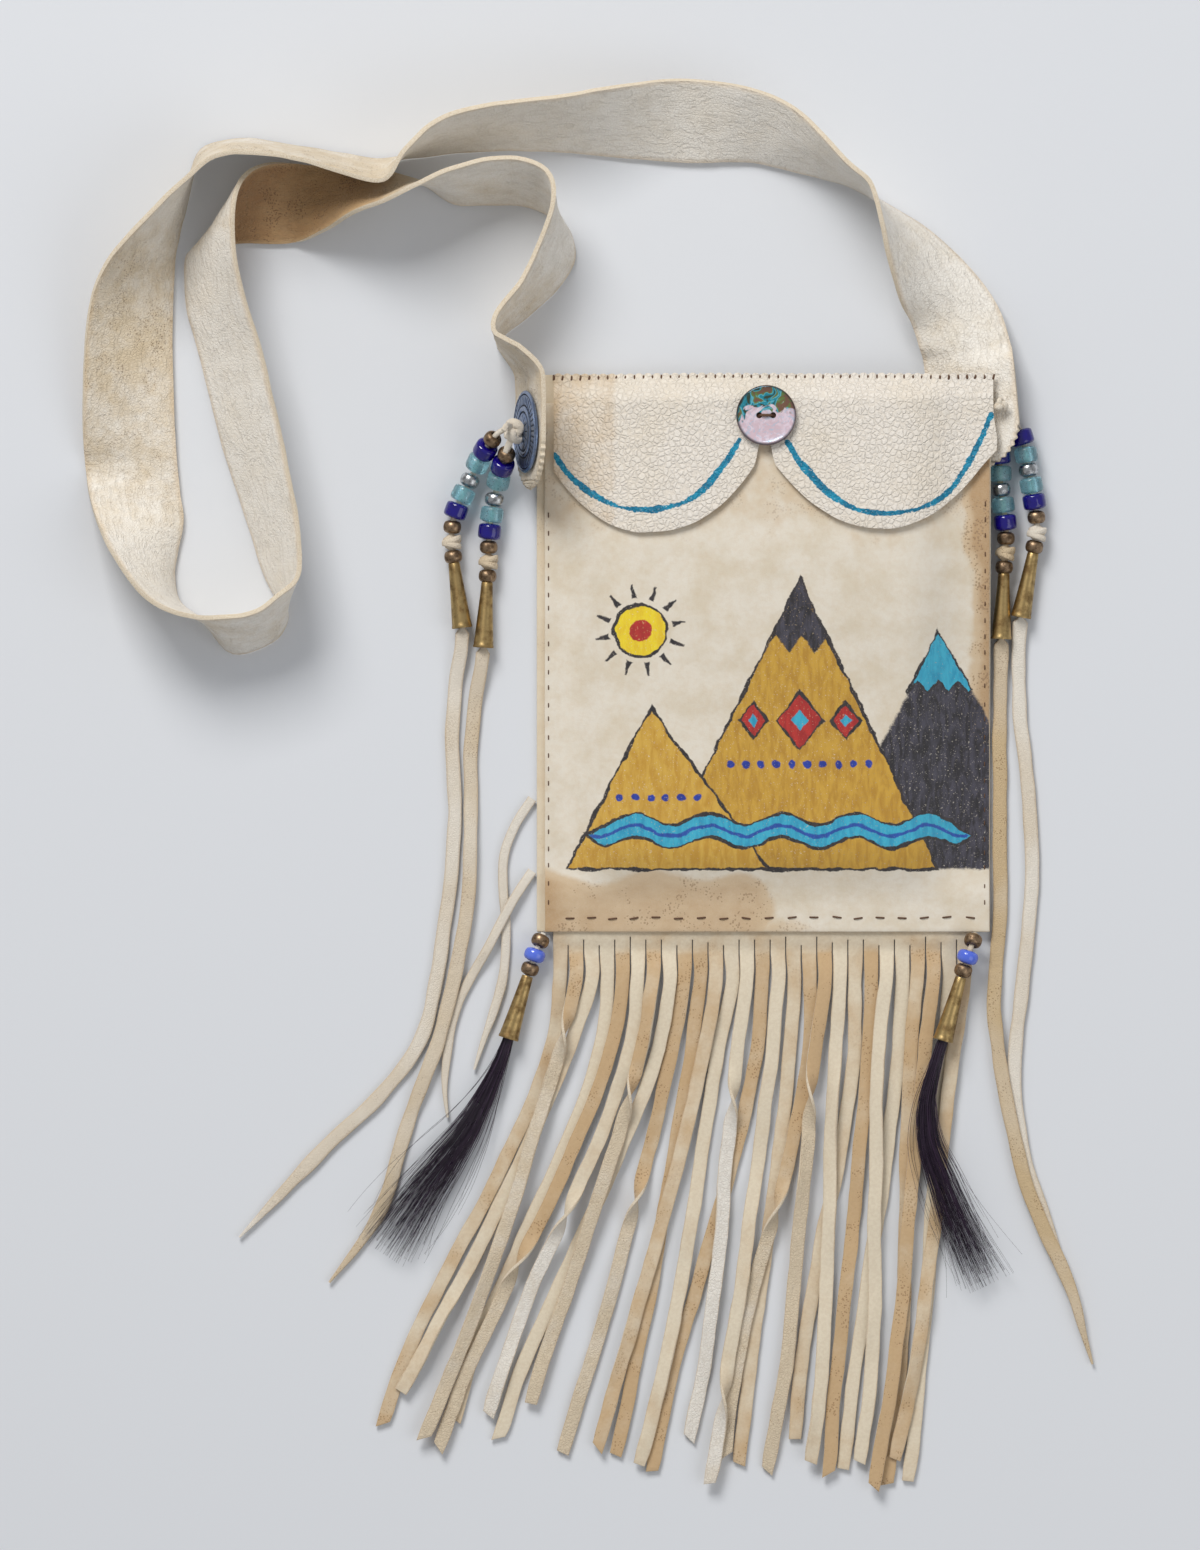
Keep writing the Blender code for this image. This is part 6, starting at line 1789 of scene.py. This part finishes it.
def make_fringe(pile, strips, materials):
    """The band and its strips: each strip wavers, rolls a little and here and there turns over."""
    count = len(STRIP_TIPS)
    pitch = (FRINGE_RIGHT - FRINGE_LEFT) / count
    width = pitch - STRIP_SLIT
    seam_z = PANEL_THICKNESS + GAP + FRINGE_THICKNESS / 2
    floor_z = FRINGE_THICKNESS / 2 + 0.1 * MM
    columns = 5
    chance = random.Random(23)
    tints = []
    for _ in range(count):
        tints.append(min(1.0, max(0.0, chance.choice((0.12, 0.45, 0.75)) + chance.gauss(0.0, 0.12))))
    xs = []
    owners = []
    for number in range(count):
        xs += list(FRINGE_LEFT + pitch * (number + 0.5) + width * (np.linspace(0.0, 1.0, columns) - 0.5))
        owners += [number] * columns
    band_ys = [BAG_BOTTOM + y * MM for y in (8.0, 4.0, 1.0, -0.6, -1.8, -2.9, -4.0, -5.1, -6.3, -7.5)]
    slit_rows = [chance.choice((4, 5, 5, 6, 7)) for _ in range(count)]
    points = []
    faces = []
    tint = []
    edge = []
    deep = []
    for y in band_ys:
        below = smooth_step((BAG_BOTTOM - y) / (6 * MM))
        fall = smooth_step((BAG_BOTTOM - 0.5 * MM - y) / (FRINGE_BAND - 0.5 * MM))
        for x, owner in zip(xs, owners):
            round_off = 0.30 * MM * below * math.cos(2 * math.pi * (x - FRINGE_LEFT) / pitch + math.pi)
            points.append((x, y, seam_z + (floor_z - seam_z) * fall + max(round_off, -0.1 * MM)))
            tint.append(0.35 + (tints[owner] - 0.35) * smooth_step((BAG_BOTTOM - y) / (14 * MM)))
            edge.append(0.0)
            deep.append(0.0)
    across_count = len(xs)
    for row in range(len(band_ys) - 1):
        for column in range(across_count - 1):
            if column % columns == columns - 1 and row >= slit_rows[column // columns]:
                continue
            start = row * across_count + column
            faces.append((start, start + across_count, start + across_count + 1, start + 1))
    root_row = (len(band_ys) - 1) * across_count
    for number in range(count):
        fine = curve_through(strips[number], 2.0 * MM)
        fine[:, 2] = np.maximum(fine[:, 2], floor_z)
        steps = path_lengths(fine)
        total = steps[-1]
        clear = np.array([float(pile.under(x, y, width / 2 + GAP) < z + FRINGE_THICKNESS / 2 + 0.25 * MM)
                          for x, y, z in fine])
        calm = np.array([clear[max(0, index - 6):index + 7].min() for index in range(len(clear))])
        calm = np.convolve(calm, np.ones(11) / 11, mode="same")
        room = [index for index in range(14, len(fine) - 12) if clear[index - 10:index + 10].min() > 0]
        turns = []
        if room and chance.random() < 0.6:
            turns.append((room[int(chance.random() * len(room))], chance.choice((-1.0, 1.0))))
        rolls = np.zeros(len(fine))
        for index, distance in enumerate(steps):
            rolls[index] = 0.8 * calm[index] * wander(distance, number * 0.37, 40 * MM, 13.0)
            rolls[index] *= smooth_step(distance / (14 * MM))
            for turn, way in turns:
                rolls[index] += way * math.pi * smooth_step((distance - steps[turn]) / (30 * MM) + 0.5)
        ahead = np.gradient(fine, axis=0)
        ahead /= np.linalg.norm(ahead, axis=1)[:, None]
        previous = [root_row + number * columns + column for column in range(columns)]
        seed = chance.uniform(0, 50)
        skew = chance.uniform(-0.35, 0.35) * width
        for index in range(1, len(fine)):
            distance = steps[index]
            level = np.array([-ahead[index][1], ahead[index][0], 0.0])
            level /= np.linalg.norm(level)
            if level[0] < 0:
                level = -level
            upward = np.cross(level, ahead[index])
            upward *= 1 if upward[2] > 0 else -1
            near_root = smooth_step(distance / (12 * MM))
            near_end = smooth_step((distance - total + 6 * MM) / (6 * MM))
            narrow = 1 - near_root * 0.04 - 0.10 * near_end
            roll = rolls[index]
            centre = fine[index].copy()
            centre[2] += abs(math.sin(roll)) * width / 2 * narrow * 0.92
            sideways = level * math.cos(roll) + upward * math.sin(roll)
            face_up = np.cross(ahead[index], sideways)
            face_up *= 1 if np.dot(face_up, upward) * math.cos(roll) >= 0 else -1
            drift = 0.9 * MM * wander(distance, seed + 3, 30 * MM, 2.0) * near_root
            row = []
            for column in range(columns):
                share = 2 * column / (columns - 1) - 1
                tatter = wander(distance, seed + 20 * round(share), 8 * MM, 6.0)
                ragged = near_root * 0.28 * MM * tatter * abs(share)
                curl = 0.40 * MM * (share ** 2 - 0.5) * calm[index] * wander(distance, seed + 9, 30 * MM, 1.0)
                ripple = 0.25 * MM * calm[index] * near_root
                ripple *= wander(distance, seed + 5 + share, 11 * MM, 3.0)
                spot = centre + sideways * (share * width / 2 * narrow + ragged) - level * drift
                spot = spot + face_up * (curl + ripple) + ahead[index] * (share * skew * near_end)
                spot[2] = max(spot[2], FRINGE_THICKNESS / 2)
                row.append(len(points))
                points.append(spot)
                tint.append(tints[number])
                edge.append(abs(share))
                deep.append(smooth_step((distance - total + 45 * MM) / (45 * MM)))
            for column in range(columns - 1):
                faces.append((previous[column], row[column], row[column + 1], previous[column + 1]))
            previous = row
    body = leather("fringe_leather", points, faces, FRINGE_THICKNESS, materials["fringe"], rounding=0.35,
                   tint=tint, edge=edge, deep=deep)
    show(body, "bag", "fringe", slot="tan_suede")


def fringe_face(name, pale, deep, nap):
    """One face of the fringe: tan suede or the paler grain, tinted strip by strip."""
    graph = Graph(name)
    tint = graph.attribute("tint")
    clouds = graph.noise(16.0, 4.0, 0.6)
    level = graph.add(tint, graph.less(clouds, 0.5), graph.times(graph.attribute("deep"), 0.18))
    colour = graph.mix(graph.ease(level, 0.15, 0.85), pale, deep)
    specked = graph.times(specks(graph, 1.0, 0.34 if nap else 0.2), graph.ease(level, 0.35, 0.8))
    colour = graph.mix(graph.times(specked, 0.55), colour, rgb(132, 94, 58))
    rim = graph.add(graph.attribute("edge"), graph.ragged(2.5, 4.0, 0.6, 0.3))
    colour = graph.mix(graph.ease(rim, 0.78, 1.1, 0.0, 0.5), colour, rgb(180, 143, 98))
    height = suede_nap(graph) if nap else pebble(graph, 1.1)
    streak = graph.noise(1.2, 4.0, 0.6)
    colour = graph.mix(graph.ease(streak, 0.35, 0.65, 0.0, 0.12), colour, rgb(160, 126, 88))
    graph.set(Base_Color=colour, Roughness=0.9 if nap else 0.72)
    graph.set(Normal=graph.bump(graph.add(height, graph.times(streak, 0.5)), 0.16))
    graph.set(Sheen_Weight=0.2 if nap else 0.05)
    return graph


# Button and stitches


def make_button(materials):
    lift_slope = CORNER_LIFT / BAG_WIDTH
    upward = Vector((-lift_slope, 0.0, 1.0)).normalized()
    reach = BUTTON_RADIUS * 0.95
    tops = [flap_height(BUTTON_X, BUTTON_Y + reach * along) for along in (-1.0, -0.5, 0.0, 0.5, 1.0)]
    seat_z = max(tops) + FLAP_THICKNESS / 2 + GAP + 0.1 * MM
    frame_matrix = axis_matrix(Vector((BUTTON_X, BUTTON_Y, seat_z)), upward)
    rim = BUTTON_RADIUS
    profile = [(0.3 * MM, 0.02 * MM), (0.3 * MM, rim * 0.55), (0.0, rim * 0.8), (0.1 * MM, rim * 0.9),
               (0.5 * MM, rim * 0.985), (0.9 * MM, rim),
               (BUTTON_THICKNESS - 0.9 * MM, rim), (BUTTON_THICKNESS - 0.4 * MM, rim * 0.985),
               (BUTTON_THICKNESS - 0.08 * MM, rim * 0.955), (BUTTON_THICKNESS, rim * 0.925),
               (BUTTON_THICKNESS - 0.12 * MM, rim * 0.89), (BUTTON_THICKNESS - 0.42 * MM, rim * 0.82),
               (BUTTON_THICKNESS - 0.6 * MM, rim * 0.7), (BUTTON_THICKNESS - 0.74 * MM, rim * 0.5),
               (BUTTON_THICKNESS - 0.8 * MM, rim * 0.3), (BUTTON_THICKNESS - 0.8 * MM, 0.02 * MM)]
    points, faces = revolve(profile, 96)
    button = add_mesh("shell_button", placed(points, frame_matrix), faces, [materials["shell"]])
    outward(button)
    cutters = []
    for side in (-1, 1):
        centre = frame_matrix @ Vector((0, 0, BUTTON_THICKNESS / 2))
        centre.x += side * BUTTON_HOLE_SPACING / 2
        ring = [(-6 * MM, 0.01 * MM), (-6 * MM, BUTTON_HOLE_RADIUS),
                (6 * MM, BUTTON_HOLE_RADIUS), (6 * MM, 0.01 * MM)]
        points, faces = revolve(ring, 28)
        cutter = outward(add_mesh("cut", placed(points, axis_matrix(centre, upward)), faces, []))
        cut = button.modifiers.new("hole", "BOOLEAN")
        cut.operation = "DIFFERENCE"
        cut.object = cutter
        cutters.append(cutter)
    baked(button, 40)
    for cutter in cutters:
        bpy.data.objects.remove(cutter, do_unlink=True)
    show(button, "flap", "button", slot="shell")
    half = BUTTON_HOLE_SPACING / 2 - 0.5 * MM
    top = BUTTON_THICKNESS - 0.8 * MM + 0.55 * MM
    route = [(-half, -0.2 * MM), (-half * 0.97, top * 0.55), (-half * 0.72, top * 0.9), (-half * 0.3, top)]
    route += [(-x, z) for x, z in reversed(route)]
    route = [np.array(frame_matrix @ Vector((0, 0, z)) + Vector((x, 0, 0))) for x, z in route]
    path = curve_through(np.array(route), 0.3 * MM)
    widths = [0.55 * MM * (1 + 0.06 * math.sin(index * 1.3)) for index in range(len(path))]
    sections = [oval(width, 0.45 * MM, 12, 0.75) for width in widths]
    parts = [sweep(path, sections)]
    # The thong's two ends go down into the holes and fill them with dark thread: part of the real thong, and a
    # dark fill in place of the shade inside the holes.
    for side in (-1, 1):
        foot = frame_matrix @ Vector((0, 0, -0.2 * MM))
        foot.x += side * BUTTON_HOLE_SPACING / 2
        stem = np.array([foot + upward * (0.25 * MM * step) for step in range(4)])
        parts.append(round_tube(stem, 1.02 * MM, 14))
    thong = one_lace("button_lace", parts, materials["thread"])
    show(thong, "flap", "button_thong", slot="tan_suede")


def make_stitches(materials):
    chance = random.Random(3)
    dashes = []
    x = -75.5 * MM
    while x < 83 * MM:
        half = STITCH_LENGTH / 2
        route = []
        y = STITCH_Y + chance.uniform(-0.35, 0.35) * MM
        slant = chance.uniform(-0.3, 0.3) * MM
        bow = ((-1.0, -0.55), (-0.85, 0.1), (-0.4, 0.36), (0.4, 0.36), (0.85, 0.1), (1.0, -0.55))
        for share, rise in bow:
            spot_x = x + half * share
            top = front_height(spot_x, y) + front_relief(spot_x, y) + PANEL_THICKNESS / 2
            route.append((spot_x, y + slant * share, top + rise * MM))
        dashes.append(stroke(route, 0.34 * MM))
        x += STITCH_PITCH + chance.uniform(-0.5, 0.5) * MM
    left = -BAG_WIDTH / 2 + BACK_RIM
    right = BAG_WIDTH / 2 - BACK_RIM
    for seam_x, height_x in ((left + 1.5 * MM, left + 1.5 * MM), (right + 0.9 * MM, right - 1.9 * MM)):
        y = -40.0 * MM
        while y < 118 * MM:
            route = []
            for along, rise in ((-1.0, -0.2), (-0.7, 0.66), (0.1, 0.86), (0.8, 0.66), (1.1, -0.2)):
                route.append((seam_x, y + along * MM, front_height(height_x, y) + rise * MM))
            dashes.append(stroke(route, 0.22 * MM))
            y += 6.2 * MM + chance.uniform(-1.2, 1.2) * MM
    points, faces = merged(dashes)
    running = outward(add_mesh("running_stitches", points, faces, [materials["thread"]]))
    show(running, "bag")
    turns = []
    number = 0
    x = FLAP_LEFT
    while x < FLAP_RIGHT + 0.1 * MM:
        mid = flap_height(x, HINGE_Y)
        top = mid + FLAP_THICKNESS / 2
        lean = chance.uniform(-0.3, 0.9) * MM
        rise = top_wave(x)
        reach = chance.uniform(1.9, 2.7) * MM
        route = [(x - lean, HINGE_Y - reach, top - 0.35 * MM),
                 (x - lean * 0.8, HINGE_Y - reach * 0.85, top + 0.16 * MM),
                 (x - lean * 0.3, HINGE_Y - 1.2 * MM, top + 0.14 * MM),
                 (x, HINGE_Y - 0.6 * MM, top - 0.14 * MM),
                 (x + lean * 0.2, HINGE_Y - 0.4 * MM, mid - 0.2 * MM)]
        turns.append(stroke([(px, py + rise, pz) for px, py, pz in route], chance.uniform(0.4, 0.54) * MM))
        number += 1
        x = FLAP_LEFT + WHIP_PITCH * number
    points, faces = merged(turns)
    whip = outward(add_mesh("whip_stitches", points, faces, [materials["thread"]]))
    show(whip, "flap")


# Scene


def area_light(name, place, aim, size, power, colour=(1.0, 1.0, 1.0)):
    lamp = bpy.data.lights.new(name, "AREA")
    lamp.shape = "RECTANGLE"
    lamp.size, lamp.size_y = size
    lamp.energy = power
    lamp.color = colour
    body = bpy.data.objects.new(name, lamp)
    bpy.context.scene.collection.objects.link(body)
    body.location = place
    body.rotation_euler = (Vector(aim) - Vector(place)).to_track_quat("-Z", "Y").to_euler()


PICTURE_MIDDLE = (-0.0638, 0.00975)
PICTURE_HEIGHT = 0.6045
BAG_FACE = 0.008


def make_camera():
    data = bpy.data.cameras.new("camera")
    camera = bpy.data.objects.new("camera", data)
    bpy.context.scene.collection.objects.link(camera)
    camera.location = (*PICTURE_MIDDLE, CAMERA_HEIGHT)
    data.lens = 36.0 * (CAMERA_HEIGHT - BAG_FACE) / PICTURE_HEIGHT
    data.clip_start = 0.05
    bpy.context.scene.camera = camera


CAMERA_HEIGHT = 6.0


def make_surroundings():
    graph = Graph("pale_floor")
    graph.set(Base_Color=rgb(222, 225, 230), Roughness=0.85)
    corners = [(-3, -3, 0), (3, -3, 0), (3, 3, 0), (-3, 3, 0)]
    floor = add_mesh("floor", corners, [(0, 1, 2, 3)], [graph.material])
    floor.location.z = -0.0007
    world = bpy.data.worlds.new("studio")
    world.use_nodes = True
    world.node_tree.nodes["Background"].inputs["Color"].default_value = (0.97, 0.98, 1.0, 1.0)
    world.node_tree.nodes["Background"].inputs["Strength"].default_value = 0.36
    bpy.context.scene.world = world
    area_light("key", (-1.0, 2.3, 2.3), (-0.05, 0.0, 0.0), (1.4, 1.4), 82.0, (1.0, 0.985, 0.96))
    area_light("fill", (1.1, -0.5, 1.3), (0.0, 0.0, 0.0), (1.2, 1.2), 5.0, (1.0, 0.99, 0.98))
    bpy.context.scene.view_settings.view_transform = "Standard"


def main():
    make_camera()
    make_surroundings()
    lace = lace_leather("pale_lace").material
    materials = {
        "bronze": aged_metal("bronze_bead", rgb(158, 134, 108), rgb(96, 78, 62), 0.36).material,
        "silver": aged_metal("silver_bead", rgb(205, 208, 210), rgb(120, 122, 126), 0.2).material,
        "brass": aged_metal("aged_brass", rgb(186, 160, 110), rgb(122, 98, 64), 0.34, 5.0).material,
        "navy": glass("navy_glass", rgb(24, 8, 140), 0.3, rgb(14, 4, 84)).material,
        "aqua": glass("aqua_glass", rgb(172, 230, 242), 0.85, rgb(214, 243, 249), 0.26).material,
        "periwinkle": glass("periwinkle_bead", rgb(88, 116, 232), 0.1, rgb(116, 142, 240)).material,
        "shell": shell_material().material,
        "thread": thread_material().material,
        "hair": hair_material().material,
        "lace": lace,
    }
    edge = cut_edge("cut_edge").material
    plain = suede("flesh_side", CREAM, rgb(211, 191, 160)).material
    grain = white_grain("back_grain", None, 0.5, 1.6).material
    materials["front"] = [painted_front().material, plain, edge]
    materials["back"] = [plain, grain, edge]
    materials["flap"] = [flap_grain().material, plain, edge]
    materials["strap"] = [strap_face("strap_first_face", "outer", 1.35, 0.34).material,
                          strap_face("strap_second_face", "inner", 1.5, 0.36).material, edge]
    materials["fringe"] = [fringe_face("fringe_suede", rgb(228, 216, 193), rgb(202, 172, 132), True).material,
                           fringe_face("fringe_grain", rgb(236, 231, 222), rgb(216, 200, 174), False).material,
                           edge]
    pile = Pile()
    make_thin_lace("thin_lace_upper", pile, lace)
    make_thin_lace("thin_lace_lower", pile, lace)
    strips = laid_strips(pile)
    for string in LACE_ROUTES:
        materials["lace"] = lace_leather("lace_" + string, LACE_TINT[string]).material
        make_lace(string, pile, materials)
    materials["lace"] = lace
    for name in TASSEL_ROUTES:
        make_tassel(name, pile, materials)
    make_fringe(pile, strips, materials)
    make_panels(materials)
    make_flap(materials)
    make_strap(materials)
    for which in ("left", "right"):
        make_concho(which, concho_metal().material)
    make_tie("right", [], lace)
    make_tie("left", TIE_INNER_STEPS, lace)
    make_edge_knot(lace)
    make_button(materials)
    make_stitches(materials)


main()
